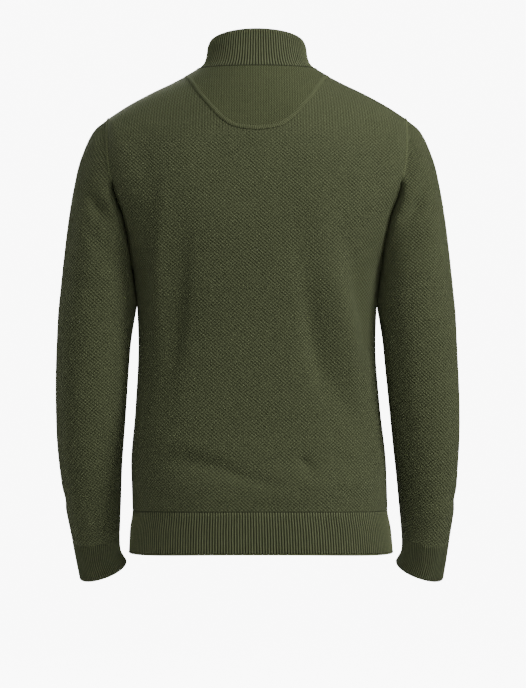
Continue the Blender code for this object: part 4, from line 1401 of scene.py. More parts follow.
def patchy(flat: Array, seed: int, low: float = 0.86, high: float = 1.08,
           waves: int = 12) -> Array:
    """A soft random field over the flat cut, for stitches of uneven tension.

    Args:
        flat: places in the flat cut.
        seed: the field's seed.
        low: its lowest value.
        high: its highest value.
        waves: how many waves of chance lengths and headings it is made of.

    Returns:
        The field's value at each place.
    """
    chance = np.random.default_rng(seed)
    total = np.zeros(flat.shape[:-1])
    for _ in range(waves):
        heading = chance.uniform(0, math.pi)
        across = flat[..., 0] * math.cos(heading) + flat[..., 1] * math.sin(heading)
        length = chance.uniform(0.012, 0.055)
        total += np.cos(2 * math.pi * across / length + chance.uniform(0, 2 * math.pi))
    return low + (high - low) * ease(0.5 + total / (0.75 * waves))


def lengths_along(points: Array) -> Array:
    """Distances along each course from its first point."""
    steps = np.linalg.norm(np.diff(points, axis=1), axis=2)
    return np.concatenate([np.zeros((len(points), 1)), np.cumsum(steps, axis=1)], axis=1)


def even_heights(line: Array, rows: int) -> Array:
    """Heights of points spaced evenly along a line that rises."""
    along = run_of(line)
    return np.interp(np.linspace(0.0, along[-1], rows + 1), along, line[:, 2])


def crossing(inside: Array, along: Array, seed: int, step: int) -> float:
    """Where a course leaves a piece: the distance at which inside falls below zero.

    Args:
        inside: above zero where the course is on the piece.
        along: distances along the course.
        seed: a column of the table on the piece.
        step: +1 or -1, the way to look.

    Returns:
        The distance along the course.
    """
    k = seed
    while 0 <= k + step < len(inside) and inside[k + step] >= 0:
        k += step
    if not 0 <= k + step < len(inside):
        return float(along[k])
    share = inside[k] / (inside[k] - inside[k + step])
    return float(along[k] + (along[k + step] - along[k]) * share)


def courses_in(line: Array, course: float) -> int:
    """How many whole courses fit along a line."""
    length = np.linalg.norm(np.diff(line, axis=0), axis=1).sum()
    return int(round(length / course))


def crossings(inside: Array, along: Array, seed: int, step: int) -> Array:
    """Where each course leaves a piece, as crossing finds it."""
    return np.array([crossing(inside[j], along[j], seed, step) for j in range(len(along))])


def knit_both_ways(stitches: Stitches, points: Array, inside: Array, middle: int,
                   ribbing: Array | None = None) -> Lay:
    """Knits a piece whose courses run both ways from its middle column.

    Args:
        stitches: the stitch it is knitted in.
        points: the points of each course across the piece.
        inside: above zero where a course is on the piece.
        middle: the middle column.
        ribbing: how far each course is drawn from moss stitch towards ribs.

    Returns:
        The piece's grid.
    """
    inside[:, middle] = np.maximum(inside[:, middle], 0.0)
    along = lengths_along(points)
    along = along - along[:, middle:middle + 1]
    starts = crossings(inside, along, middle, -1)
    ends = crossings(inside, along, middle, 1)
    reach = int(math.ceil(np.abs(along).max() / stitches.wale)) + 1
    return stitches.knit(points, along, starts, ends, -reach, reach, ribbing)


def rib_relief(height: float, ribs: int, share: Array, rows: int) -> Array:
    """Ribs as real ridges that die out at the first row, where the band is sewn on.

    Args:
        height: how far a rib stands up or sinks.
        ribs: how many ribs the band has.
        share: each point's share of the band's length.
        rows: how many rows of points the band has.

    Returns:
        The relief, a row of numbers for each row of points.
    """
    ridges = height * np.cos(2 * math.pi * share * ribs)
    return ridges * np.minimum(1.0, 0.2 + np.arange(rows) / 2)[:, None]


# ================================================================ the body panels
@dataclass
class Panels:
    """The back and the two fronts, in moss stitch."""

    form: BodyForm
    finishes: Finishes
    stitches: Stitches = Stitches(relief=0.00019)
    wall: float = 0.0020
    reference_x: float = 0.105
    yoke_ribbing: float = 0.75
    table_levels: int = 420
    table_turns: int = 400
    back_flat: tuple[float, float] = (0.548, 0.697)
    back_area: float = 0.292
    front_flat: tuple[float, float] = (0.286, 0.667)
    front_area: float = 0.140
    side_heights: Array | None = None

    def levels(self) -> Array:
        """Levels of the table's rows, from hem seam to neck."""
        return np.linspace(0.0, 3.0, self.table_levels)

    def ribbing(self, heights: Array) -> Array:
        """How far courses at these heights are drawn towards ribs."""
        share = (heights - YOKE_LOW) / (YOKE_HIGH - YOKE_LOW)
        return self.yoke_ribbing * ease(share)

    def back_table(self) -> Sections:
        """The back's table, from the left side over the centre to the right side."""
        across = np.linspace(0.0, 2.0 - HAIR, self.table_turns + 1)
        return Sections(self.form.point(self.levels()[:, None], across), self.levels())

    def back_courses(self) -> tuple[Array, Array]:
        """The back's courses: their points, and their heights at the centre."""
        sections = self.back_table()
        line = sections.table[:, self.table_turns // 2]
        heights = even_heights(line, courses_in(line, self.stitches.course))
        low, high = sections.table[0, :, 2], sections.table[-1, :, 2]
        share = (heights - heights[0]) / (heights[-1] - heights[0])
        asked = low[None, :] + (high - low)[None, :] * share[:, None]
        points, _ = sections.cut(asked)
        self.side_heights = asked[:, 0]
        return points, heights

    def build_back(self) -> Piece:
        """Lays the back."""
        points, heights = self.back_courses()
        along = lengths_along(points)
        centre = self.table_turns // 2
        along = along - along[:, centre:centre + 1]
        reach = int(math.ceil(np.abs(along).max() / self.stitches.wale)) + 1
        lay = self.stitches.knit(points, along, along[:, 0], along[:, -1], -reach, reach,
                                 self.ribbing(heights))
        made = lay_cloth("back_panel", lay, self.finishes["moss"], self.wall, Vector((0, 1, 0)),
                         Shading.FACETED)
        return made

    def build_front(self, side: str) -> Piece:
        """Lays one front, from the zip to the side.

        Args:
            side: left or right, the wearer's.

        Returns:
            The new object.
        """
        levels = self.levels()
        reach = self.form.zip_reach(levels, ZIP_OPENING)
        share = np.linspace(0.0, 1.0, self.table_turns // 2 + 1)
        inner = reach[:, None] * (1.0 - share[None, :])
        turns = np.where(inner > 0, 4.0 - inner, 4.0 - HAIR) if side == "left" else 2.0 + inner
        if side == "right":
            turns = np.maximum(turns, 2.0 + HAIR)
        table = self.form.point(levels[:, None], turns)
        sections = Sections(table, levels)
        low = table[0, :, 2]
        share_up = np.linspace(0.0, 1.0, len(self.side_heights))
        asked = self.side_heights[:, None] + (low - low[-1])[None, :] * (1 - share_up[:, None]) ** 2
        points, _ = sections.cut(asked)
        inside = table[-1, :, 2][None, :] - asked
        inside[:, -1] = np.maximum(inside[:, -1], 0.0)
        along = self.wale_places(points, inside)
        last = points.shape[1] - 1
        starts = crossings(inside, along, last, -1)
        first = int(math.floor(along.min() / self.stitches.wale)) - 1
        end = int(math.ceil(along.max() / self.stitches.wale)) + 1
        lay = self.stitches.knit(points, along, starts, along[:, -1], first, end,
                                 self.ribbing(self.side_heights))
        made = lay_cloth(f"front_{side}_panel", lay, self.finishes["moss"], self.wall,
                         Vector((0, -1, 0)), Shading.FACETED)
        return made

    def wale_places(self, points: Array, inside: Array) -> Array:
        """Distances along a front's courses, counted so that the zip edge follows one wale."""
        along = lengths_along(points)
        across = np.abs(points[..., 0] - lean_shift(points[..., 2]))
        at_reference = np.array([np.interp(self.reference_x, across[j], along[j])
                                 for j in range(len(points))])
        along = along - at_reference[:, None]
        reaches_zip = inside[:, 0] >= 0
        last = int(np.nonzero(reaches_zip)[0].max())
        middle = along[len(along) // 2, 0]
        wanted = -round(-middle / self.stitches.wale) * self.stitches.wale
        scale = np.where(reaches_zip, wanted / along[:, 0], wanted / along[last, 0])
        return np.where(along < 0, along * scale[:, None], along)

    def build(self) -> None:
        """Lays the three panels and puts them in place of their solids."""
        back = self.build_back()
        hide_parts("back")
        place(back, Slot.MOSS)
        for side in SIDES:
            front = self.build_front(side)
            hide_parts(f"front_{side}")
            place(front, Slot.MOSS)


def place(piece: Piece, slot: Slot, body: str = CARDIGAN_BODY) -> None:
    """Rides a piece on its body and reports it."""
    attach(piece, body)
    graph = bpy.context.evaluated_depsgraph_get()
    shown = piece.evaluated_get(graph).to_mesh()
    shown.calc_loop_triangles()
    LOG.info("%s: %d triangles", piece.name, len(shown.loop_triangles))


# ================================================================ sleeves and cuffs
@dataclass
class Sleeves:
    """The two sleeves in moss stitch and their ribbed cuffs."""

    form: SleeveForm
    finishes: Finishes
    stitches: Stitches = Stitches(relief=0.00034, seed=11)
    wall: float = 0.0020
    table_rings: int = 420
    table_around: int = 240
    sleeve_flat: tuple[float, float] = (0.574, 0.6275)
    sleeve_area: float = 0.1715
    cuff_flat: tuple[float, float] = (0.2435, 0.054)
    cuff_area: float = 0.0126
    cuff_rows: int = 16
    rib_height: float = 0.00032

    def lay_sleeve(self) -> Lay:
        """The left sleeve's grid: its courses are level, its wales run down from the cap."""
        rings = np.linspace(self.form.cuff_ring, 0.0, self.table_rings)
        table = self.form.point(rings[:, None], np.linspace(0.0, 1.0, self.table_around + 1))
        sections = Sections(table, np.linspace(0.0, 1.0, self.table_rings))
        outer = self.table_around // 2
        line = table[:, outer]
        heights = even_heights(line, courses_in(line, self.stitches.course))
        low = table[0, :, 2]
        share = (heights - heights[0]) / (heights[-1] - heights[0])
        asked = heights[:, None] + (low - low[outer])[None, :] * (1.0 - share)[:, None]
        points, _ = sections.cut(asked)
        inside = table[-1, :, 2][None, :] - asked
        return knit_both_ways(self.stitches, points, inside, outer)

    def lay_cuff(self) -> Lay:
        """The left cuff's grid, with its ribs as real ridges."""
        rises = np.linspace(self.form.cuff_ring, self.form.last_ring, self.cuff_rows + 1)
        ribs = int(round(self.cuff_flat[0] / CUFF_RIB_PITCH))
        around = np.linspace(0.0, 1.0, ribs * COLUMNS_A_RIB + 1)
        numbers, turned = np.meshgrid(rises, around, indexing="ij")
        points = self.form.point(numbers, turned)
        flat = np.stack([turned * ribs * CUFF_RIB_PITCH,
                         (numbers - numbers.min()) / 2 * self.cuff_flat[1]], axis=-1)
        relief = self.rib_height * np.cos(2 * math.pi * turned * ribs)
        relief[0] = 0.0
        return Lay(points, flat, relief)

    def build(self) -> None:
        """Lays both sleeves and cuffs and puts them in place of their solids."""
        sleeve, cuff = self.lay_sleeve(), self.lay_cuff()
        for side in SIDES:
            made = lay_cloth(f"sleeve_{side}_panel", sleeve.on_side(side), self.finishes["moss"],
                             self.wall, Vector((0, 0, 0)), Shading.FACETED)
            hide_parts(f"sleeve_{side}")
            place(made, Slot.MOSS)
            made = lay_cloth(f"cuff_{side}_rib", cuff.on_side(side), self.finishes["cuff_rib"],
                             self.wall, Vector((0, 0, 0)))
            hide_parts(f"cuff_{side}")
            place(made, Slot.RIB)


# ================================================================ hem band and collar
@dataclass
class HemBand:
    """The ribbed hem band in its three lengths."""

    form: BodyForm
    finishes: Finishes
    wall: float = 0.0022
    rows: int = 14
    rib_height: float = 0.0005
    height: float = 0.060
    samples: int = 400
    flats: dict[str, tuple[float, float]] = field(default_factory=lambda: {
        "back": (0.500, 0.059), "front_left": (0.241, 0.057), "front_right": (0.241, 0.057)})

    def turns(self, piece: str) -> tuple[float, float]:
        """The turns between which a length of the band runs, from its left end."""
        reach = float(self.form.zip_reach(np.array([-0.5]), ZIP_OPENING)[0])
        ends = {"back": (0.0, 2.0 - HAIR), "front_left": (4.0 - reach, 4.0 - HAIR),
                "front_right": (2.0 + HAIR, 2.0 + reach)}
        return ends[piece]

    def lay(self, piece: str) -> Lay:
        """One length's grid, with its ribs as real ridges that stand on end."""
        first, last = self.turns(piece)
        spread = np.linspace(first, last, self.samples)
        along = run_of(self.form.point(-0.5, spread))
        ribs = int(round(along[-1] / HEM_RIB_PITCH))
        share = np.linspace(0.0, 1.0, ribs * COLUMNS_A_RIB + 1)
        turn = np.interp(share * along[-1], along, spread)
        level = np.linspace(0.0, -1.0, self.rows + 1)
        levels, turns = np.meshgrid(level, turn, indexing="ij")
        points = self.form.point(levels, turns)
        shares = np.broadcast_to(share[None, :], levels.shape)
        flat = np.stack([shares * ribs * HEM_RIB_PITCH, (levels + 1) * self.height], axis=-1)
        return Lay(points, flat, rib_relief(self.rib_height, ribs, shares, self.rows + 1))

    def build(self) -> None:
        """Lays the three lengths."""
        for piece, flat in self.flats.items():
            facing = Vector((0, 1, 0)) if piece == "back" else Vector((0, -1, 0))
            made = lay_cloth(f"hem_{piece}_rib", self.lay(piece), self.finishes["hem_rib"],
                             self.wall, facing)
            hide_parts(f"hem_{piece}")
            place(made, Slot.RIB)


@dataclass
class StandCollar:
    """The ribbed stand collar: one band whose ribs fan out at the neck seam."""

    form: CollarForm
    finishes: Finishes
    wall: float = 0.0022
    rows: int = 16
    rib_height: float = 0.00055
    rib_share: float = 0.87
    rim_share: float = 0.4
    flat: tuple[float, float] = (0.511, 0.056)
    area: float = 0.0231
    samples: int = 600

    def lay(self) -> Lay:
        """The collar's grid."""
        rises = np.linspace(0.0, 1.0, self.rows + 1)
        places, flats = [], []
        ribs = int(round(self.flat[0] * self.rib_share / COLLAR_RIB_PITCH))
        share = np.linspace(0.0, 1.0, ribs * COLUMNS_A_RIB + 1)
        for rise in rises:
            past = float(self.form.front_turn(rise, ZIP_OPENING))
            spread = np.linspace(-past, 2.0 + past, self.samples)
            along = run_of(self.form.point(rise, spread))
            turn = np.interp(share * along[-1], along, spread)
            places.append(self.form.point(rise, turn))
            flats.append(np.stack([share * ribs * COLLAR_RIB_PITCH,
                                   np.full(len(turn), rise * self.flat[1])], axis=-1))
        relief = rib_relief(self.rib_height, ribs, share, len(rises))
        relief[-1] *= self.rim_share
        return Lay(np.array(places), np.array(flats), relief)

    def build(self) -> None:
        """Lays the collar."""
        made = lay_cloth("collar_rib", self.lay(), self.finishes["collar_rib"], self.wall,
                         Vector((0, 0, 0)))
        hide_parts("collar")
        place(made, Slot.RIB)


# ================================================================ the neck patch
# The patch's lower edge: levels at turns from the shoulder seam to the centre back.
PATCH_EDGE = (
    Station(0.00, 2.822), Station(0.26, 2.796), Station(0.43, 2.722), Station(0.60, 2.608),
    Station(0.72, 2.514), Station(0.83, 2.407), Station(0.90, 2.351), Station(1.00, 2.325),
)


@dataclass
class NeckPatch:
    """The half-moon patch at the back neck, laid on the back's own form and moved out."""

    panels: Panels
    lift: float = 0.0014
    wall: float = 0.0010
    flat: tuple[float, float] = (0.274, 0.101)
    area: float = 0.0170
    stitches: Stitches = Stitches(wale=0.0015, course=0.0018, relief=0.00006, edge_fade=0.002,
                                  seed=5)
    edge: RisingCurve = curve_of(PATCH_EDGE)

    def edge_level(self, turn: Array) -> Array:
        """The level of the patch's lower edge at turns across the back."""
        return self.edge(np.minimum(turn, 2.0 - turn))

    def lay(self) -> Lay:
        """The patch's grid, cut from level lines as the back is."""
        sections = self.panels.back_table()
        turns = np.linspace(0.0, 2.0, sections.table.shape[1])
        centre = len(turns) // 2
        edge = self.edge_level(turns)
        back_level = PATCH_EDGE[-1].value
        start = int(np.searchsorted(sections.stations, back_level))
        line = sections.table[start - 1:, centre]
        rows = courses_in(line, self.stitches.course)
        low_z = float(np.interp(back_level, sections.stations, sections.table[:, centre, 2]))
        heights = np.linspace(low_z, line[-1, 2], rows + 1)
        top = sections.table[-1, :, 2]
        near_top = ease((heights - low_z) / (heights[-1] - low_z))
        asked = heights[:, None] + (top - top[centre])[None, :] * near_top[:, None]
        points, found = sections.cut(asked)
        return knit_both_ways(self.stitches, points, found - edge[None, :], centre,
                              np.ones(len(heights)))

    def build(self) -> None:
        """Lays the patch."""
        made = lay_cloth("neck_patch_panel", self.lay(), self.panels.finishes["patch"],
                         self.wall, Vector((0, 1, 0)), Shading.FACETED, lift=self.lift)
        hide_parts("neck_patch")
        place(made, Slot.MOSS)


# ================================================================ seams
@dataclass(frozen=True)
class Ridge:
    """A raised linked seam: a flattened cord along a line of the cloth."""

    width: float
    height: float
    sink: float = 0.0004
    loop: float = 0.0026
    swell: float = 0.10
    sides: int = 8
    step: float = 0.0013
    tip: float = 0.4

    def build(self, name: str, line: Array, outward: Array,
              finish: Material) -> Piece:
        """Sweeps the cord along a line.

        Args:
            name: the piece's name.
            line: points of the line.
            outward: the cloth's outward direction at each of them.
            finish: its material.

        Returns:
            The new object.
        """
        along = run_of(line)
        count = max(8, int(along[-1] / self.step))
        at = np.linspace(0.0, along[-1], count + 1)
        centre = spots_on(line, along, at)
        up = unit(spots_on(outward, along, at))
        forward = unit(np.gradient(centre, axis=0))
        side = unit(np.cross(forward, up))
        up = unit(np.cross(side, forward))
        angles = np.linspace(0.0, 2 * math.pi, self.sides + 1)
        size = 1.0 + self.swell * np.cos(2 * math.pi * at / self.loop)
        size = size * np.minimum(1.0, self.tip + np.minimum(at, at[::-1]) / (2 * self.width))
        flat_x = np.cos(angles)[None, :, None] * self.width / 2
        flat_y = np.sin(angles)[None, :, None] * self.height / 2
        raised = centre + up * (self.height / 2 - self.sink)
        places = (raised[:, None, :] + side[:, None, :] * flat_x * size[:, None, None]
                  + up[:, None, :] * flat_y * size[:, None, None])
        flat = np.stack(np.broadcast_arrays(angles / (2 * math.pi) * self.width, at[:, None]),
                        axis=-1)
        bm = grid_mesh(places, flat)
        bmesh.ops.remove_doubles(bm, verts=bm.verts[:], dist=SAME_PLACE / 10)
        bmesh.ops.holes_fill(bm, edges=[e for e in bm.edges if e.is_boundary], sides=0)
        bmesh.ops.recalc_face_normals(bm, faces=bm.faces[:])
        return make_object(name, bm, finish)


@dataclass
class Seams:
    """The linked seams that join the pieces, each along the edge that the pieces share."""

    body: BodyForm
    sleeve: SleeveForm
    collar: CollarForm
    patch: NeckPatch
    finishes: Finishes
    # The upper armhole cord takes the lighter seam finish, whose extra lightness is a painted
    # highlight.
    armhole: Ridge = Ridge(0.0034, 0.0018)
    # The lower armhole cord is near-black: painted shade at the bottom of the groove.
    armhole_sunk: Ridge = Ridge(0.0052, 0.0034)
    # A cord on the body side of the groove, coloured lighter as a painted highlight of the groove's
    # rim.
    armhole_rim: Ridge = Ridge(0.0036, 0.0022)
    # The share of the armhole on each side of the underarm that takes the near-black painted-shade
    # cord.
    sunk_share: float = 0.270
    rim_reach: float = 0.0170
    rim_foot: float = 0.06
    rim_top: float = 0.53
    armhole_middle: tuple[float, float] = (0.19, -0.19)
    neck_slant: float = 0.6
    side: Ridge = Ridge(0.0022, 0.0011)
    shoulder: Ridge = Ridge(0.0026, 0.0013)
    neck: Ridge = Ridge(0.0022, 0.0022, sink=0.0002)
    band: Ridge = Ridge(0.0018, 0.0008, sink=0.0006)
    cuff_band: Ridge = Ridge(0.0016, 0.0006, sink=0.0006)
    hem_edge: Ridge = Ridge(0.0022, 0.0020, sink=0.0012)
    patch_edge: Ridge = Ridge(0.0066, 0.0018, sink=0.0001)
    samples: int = 260
    off_edge: float = 0.03

    def both_normals(self, level: Array, turn_back: float, turn_front: float) -> Array:
        """The outward direction on a seam: between those of the two pieces beside it."""
        return unit(self.body.normal(level, turn_back) + self.body.normal(level, turn_front))

    def side_lines(self, mirror: float) -> dict[str, tuple[Array, Array]]:
        """The lines of one side's own seams.

        Args:
            mirror: 1 for the left side, -1 for the right.

        Returns:
            Seam name to its points and outward directions.
        """
        turn, near = (0.0, self.off_edge) if mirror > 0 else (2.0, -self.off_edge)
        low = np.linspace(0.0, 1.0, self.samples)
        high = np.linspace(2.0, 3.0, self.samples)
        on_side = self.body.point(low, turn)
        on_shoulder = self.body.point(high, turn)
        side_out = self.both_normals(low, turn + near, turn - near)
        shoulder_out = self.both_normals(high, turn + near, turn - near)
        around = np.linspace(0.0, 1.0, 2 * self.samples)
        flip = np.array([mirror, 1.0, 1.0])
        armhole = self.sleeve.armhole(around)
        back, height = up_armhole(around)
        if mirror < 0:
            armhole = self.body.point(1.0 + height, np.where(back, 2.0 - HAIR, 2.0 + HAIR))
        past = self.sleeve.point(0.25, around) * flip
        before = self.body.point(1.0 + height, turn + np.where(back, near, -near))
        along = unit(np.gradient(armhole, axis=0))
        across = unit(past - before)
        armhole_out = unit(np.cross(along, across)) * mirror
        inward = np.array([self.armhole_middle[0] * mirror, 0.0, self.armhole_middle[1]])
        facing = np.sum(armhole_out * (armhole - inward), axis=1)
        armhole_out = armhole_out * np.sign(np.mean(facing))
        rings = np.linspace(0.0, self.sleeve.cuff_ring, self.samples)
        under = leaned(self.sleeve.point(rings, 0.0) * flip)
        under_out = np.tile(np.array([-mirror, 0.0, 0.0]), (len(rings), 1))
        cuff_around = np.linspace(0.0, 1.0, self.samples)
        cuff = leaned(self.sleeve.point(self.sleeve.cuff_ring, cuff_around) * flip)
        middle = cuff.mean(axis=0)
        # The lower part of the armhole gets the near-black cord of painted shade; the rest gets the
        # lighter cord of painted highlight.
        upper = np.abs(around - 0.5) <= 0.5 - self.sunk_share
        order = np.argsort(np.mod(around + 0.5, 1.0), kind="stable")
        lower = order[~upper[order]]
        rim_rows = np.linspace(1.0 + self.rim_foot, 1.0 + self.rim_top, self.samples)
        rim_turn = turn + math.copysign(self.rim_reach, near)
        rim = self.body.point(rim_rows, rim_turn)
        rim_out = self.body.normal(rim_rows, rim_turn)
        return {
            "side": (on_side, side_out),
            "shoulder": (on_shoulder, shoulder_out),
            "armhole": (armhole[upper], armhole_out[upper]),
            "armhole_sunk": (armhole[lower], armhole_out[lower]),
            "armhole_rim": (rim, rim_out),
            "underarm": (under, under_out),
            "cuff": (cuff, unit(cuff - middle)),
        }

    def build(self) -> None:
        """Builds every seam."""
        sizes = {"side": self.side, "shoulder": self.shoulder, "armhole": self.armhole,
                 "armhole_sunk": self.armhole_sunk, "armhole_rim": self.armhole_rim,
                 "underarm": self.side, "cuff": self.cuff_band}
        # The armhole cords take the painted-highlight and painted-shade seam finishes.
        finish_of = {"armhole": "light_seam", "armhole_sunk": "sunk_seam",
                     "armhole_rim": "light_seam"}
        for name, mirror in (("left", 1.0), ("right", -1.0)):
            for seam, (line, outward) in self.side_lines(mirror).items():
                finish = self.finishes[finish_of.get(seam, "seam")]
                place(sizes[seam].build(f"{seam}_seam_{name}", line, outward, finish), Slot.MOSS)
        self.build_round()

    def build_round(self) -> None:
        """Builds the seams that run round the body: hem, neck and patch edge."""
        reach = float(self.body.zip_reach(np.array([0.0]), ZIP_OPENING)[0])
        turn = np.linspace(-reach, 2.0 + reach, 3 * self.samples)
        hem = self.body.point(0.0, turn)
        hem_out = unit(hem * PLAN)
        # The hem and neck seams take the near-black seam finish, which colours their seam lines
        # dark.
        dark = self.finishes["sunk_seam"]
        place(self.band.build("hem_seam", hem, hem_out, dark), Slot.RIB)
        # The cast-off edge cord is coloured lighter as a painted highlight of the rolled edge.
        edge = self.body.point(-1.0, turn)
        edge_out = unit(edge * PLAN)
        place(self.hem_edge.build("hem_cast_off_edge", edge, edge_out, self.finishes["light_seam"]),
              Slot.RIB)
        past = float(self.collar.front_turn(0.0, ZIP_OPENING))
        turn = np.linspace(-past, 2.0 + past, 3 * self.samples)
        neck = self.collar.point(0.0, turn)
        neck_out = unit(unit(neck * PLAN) + np.array([0.0, 0.0, self.neck_slant]))
        place(self.neck.build("neck_seam", neck, neck_out, dark), Slot.RIB)
        turn = np.linspace(0.0, 2.0 - HAIR, 2 * self.samples)
        level = self.patch.edge_level(turn)
        edge = self.body.point(level, turn)
        inner = np.clip(turn, self.off_edge, 2.0 - self.off_edge)
        edge_out = self.body.normal(level, inner)
        place(self.patch_edge.build("patch_edge_seam", edge, edge_out, self.finishes["edge_seam"]),
              Slot.MOSS)


# ================================================================ the zip
def bevelled(bm: Sheet, offset: float) -> None:
    """Takes the sharp edges off small blocks."""
    bmesh.ops.bevel(bm, geom=bm.edges[:], offset=offset, segments=1, profile=0.5,
                    affect="EDGES", material=-1)


@dataclass
class Zip:
    """The closed front zip: tapes, single teeth, box, stops, slider, tab and its stitching."""

    body: BodyForm
    collar: CollarForm
    finishes: Finishes
    tape_inner: float = 0.0026
    tape_outer: float = 0.0150
    tape_depth: float = 0.0029
    tape_thick: float = 0.0008
    tape_bottom: float = -0.99
    tape_top: float = 3.985
    tape_step: float = 0.0022
    teeth_bottom: float = -0.795
    teeth_top: float = 3.80
    teeth_depth: float = 0.0021
    tooth_thick: float = 0.0021
    tooth_height: float = 0.00125
    tooth_pitch: float = 0.0027
    tooth_reach: float = 0.0011
    tooth_root: float = 0.0030
    tooth_bevel: float = 0.00025
    edge_stitch: float = 0.0040
    stitch_pitch: float = 0.0032
    stitch_length: float = 0.0023
    stitch_thick: float = 0.0006
    stitch_lift: float = 0.0001
    stitch_bevel: float = 0.00015
    samples: int = 900

    def point(self, stage: Array | float, x: Array | float) -> Array:
        """The cloth's outer face at the centre front, carried across the opening.

        Args:
            stage: -1 to 3 the body's levels, 3 to 4 the collar's rise.
            x: distances from the centre line, positive to the left.

        Returns:
            The points.
        """
        stage, x = paired(stage, x)
        level = np.minimum(stage, 3.0)
        reach = self.body.zip_reach(level, np.maximum(np.abs(x), 1e-6))
        turn = np.where(x > 0, 4.0 - reach, 2.0 + reach)
        low = self.body.point(level, turn)
        rise = np.clip(stage - 3.0, 0.0, 1.0)
        angle = 3.0 + np.arcsin(x / self.collar.curves["side_x"](rise)) / (math.pi / 2)
        high = self.collar.point(rise, angle)
        return np.where((stage <= 3.0)[..., None], low, high)

    def outward(self, stage: Array, x: Array | float) -> Array:
        """The outward direction there."""
        step = 4 * TINY
        up = self.point(np.minimum(stage + step, 4.0), x) - self.point(stage - step, x)
        level = np.broadcast_to(np.array([1.0, 0.0, 0.0]), up.shape)
        return unit(np.cross(level, up))

    def stages_along(self, bottom: float, top: float, pitch: float) -> Array:
        """Stages one pitch apart along the centre line."""
        stages = np.linspace(bottom, top, self.samples)
        along = run_of(self.point(stages, 0.0))
        count = int(along[-1] / pitch)
        return np.interp(np.arange(count + 1) * pitch, along, stages)

    def build_tape(self, side: str, mirror: float) -> None:
        """One tape, woven, with the thicker cord that carries the teeth at its inner edge."""
        stages = self.stages_along(self.tape_bottom, self.tape_top, self.tape_step)
        across = np.linspace(self.tape_inner, self.tape_outer, 7)
        grid_stage, grid_x = np.meshgrid(stages, across * mirror, indexing="ij")
        points = self.point(grid_stage, grid_x)
        out = self.outward(grid_stage, grid_x)
        up = np.arange(len(stages))[:, None] * self.tape_step
        flat = np.stack([np.abs(grid_x), np.broadcast_to(up, grid_x.shape)], axis=-1)
        lay = Lay(points - out * self.tape_depth, flat, np.zeros(grid_x.shape))
        made = lay_cloth(f"zip_tape_{side}_weave", lay, self.finishes["tape"], self.tape_thick,
                         Vector((0, -1, 0)))
        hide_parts(f"zip_tape_{side}")
        place(made, Slot.TAPE)

    def frame_at(self, stage: float) -> Matrix:
        """Axes on the centre line: x across, y out of the garment, z up along the zip."""
        here = np.array([stage])
        zero = np.zeros(1)
        origin = Vector(self.point(here, zero)[0])
        out = Vector(self.outward(here, zero)[0])
        across = Vector((1.0, 0.0, 0.0))
        up = across.cross(out).normalized()
        made = Matrix((across, out, up)).transposed().to_4x4()
        made.translation = origin
        return made

    def build_teeth(self, side: str, mirror: float) -> None:
        """One side's teeth: small bevelled blocks that reach past the centre line by turns."""
        stages = self.stages_along(self.teeth_bottom, self.teeth_top, self.tooth_pitch / 2)
        bm = bmesh.new()
        start = 0 if side == "left" else 1
        low, high = -self.tooth_reach, self.tooth_root
        for stage in stages[start::2]:
            base = self.frame_at(float(stage))
            shift = Matrix.Translation((mirror * (low + high) / 2,
                                        -self.teeth_depth - self.tooth_thick / 2, 0.0))
            size = Matrix.Diagonal((high - low, self.tooth_thick, self.tooth_height, 1.0))
            bmesh.ops.create_cube(bm, size=1.0, matrix=base @ shift @ size)
        bevelled(bm, self.tooth_bevel)
        made = make_object(f"zip_teeth_{side}", bm, self.finishes["teeth"])
        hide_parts(f"zip_chain_{side}")
        place(made, Slot.METAL)

    def build_stitching(self, side: str, mirror: float) -> None:
        """The row of stitches that holds the front edge and the collar to the tape."""
        bm = bmesh.new()
        off = (ZIP_OPENING + self.edge_stitch) * mirror
        stages = self.stages_along(self.tape_bottom + 0.02, self.tape_top - 0.05,
                                   self.stitch_pitch)
        places = self.point(stages, off)
        out = self.outward(stages, off)
        forward = unit(np.gradient(places, axis=0))
        for spot, normal, ahead in zip(places, out, forward):
            up = Vector(ahead)
            facing = Vector(normal)
            across = up.cross(facing).normalized()
            turn = Matrix((across, facing, up)).transposed().to_4x4()
            turn.translation = Vector(spot) + facing * self.stitch_lift
            size = Matrix.Diagonal((self.stitch_thick, self.stitch_thick, self.stitch_length, 1))
            bmesh.ops.create_cube(bm, size=1.0, matrix=turn @ size)
        bevelled(bm, self.stitch_bevel)
        uv = bm.loops.layers.uv.new(CLOTH_MAP)
        for face in bm.faces:
            for loop in face.loops:
                loop[uv].uv = (loop.vert.co.x, loop.vert.co.z)
        made = make_object(f"zip_stitching_{side}", bm, self.finishes["seam"])
        place(made, Slot.MOSS)

    def build(self) -> None:
        """Builds the whole zip."""
        for side, mirror in (("left", 1.0), ("right", -1.0)):
            self.build_tape(side, mirror)
            self.build_teeth(side, mirror)
            self.build_stitching(side, mirror)
        for node in ("zip_box", "zip_stop_left", "zip_stop_right", "zip_slider", "zip_pull"):
            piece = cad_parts[node]
            piece.data.materials.clear()
            piece.data.materials.append(self.finishes["slider"])


# ================================================================ studio
@dataclass(frozen=True)
class Light:
    """One square soft light that faces the garment: its place, side and power in watts."""

    name: str
    place: Point
    size: float
    power: float

    def build(self, aim_at: Point) -> None:
        """Hangs the light so that it faces a point."""
        light = bpy.data.lights.new(self.name, "AREA")
        light.shape = "SQUARE"
        light.size = self.size
        light.energy = self.power
        holder = bpy.data.objects.new(self.name, light)
        holder.location = self.place
        aim = Vector(aim_at) - Vector(self.place)
        holder.rotation_mode = "QUATERNION"
        holder.rotation_quaternion = aim.to_track_quat("-Z", "Y")
        bpy.context.scene.collection.objects.link(holder)


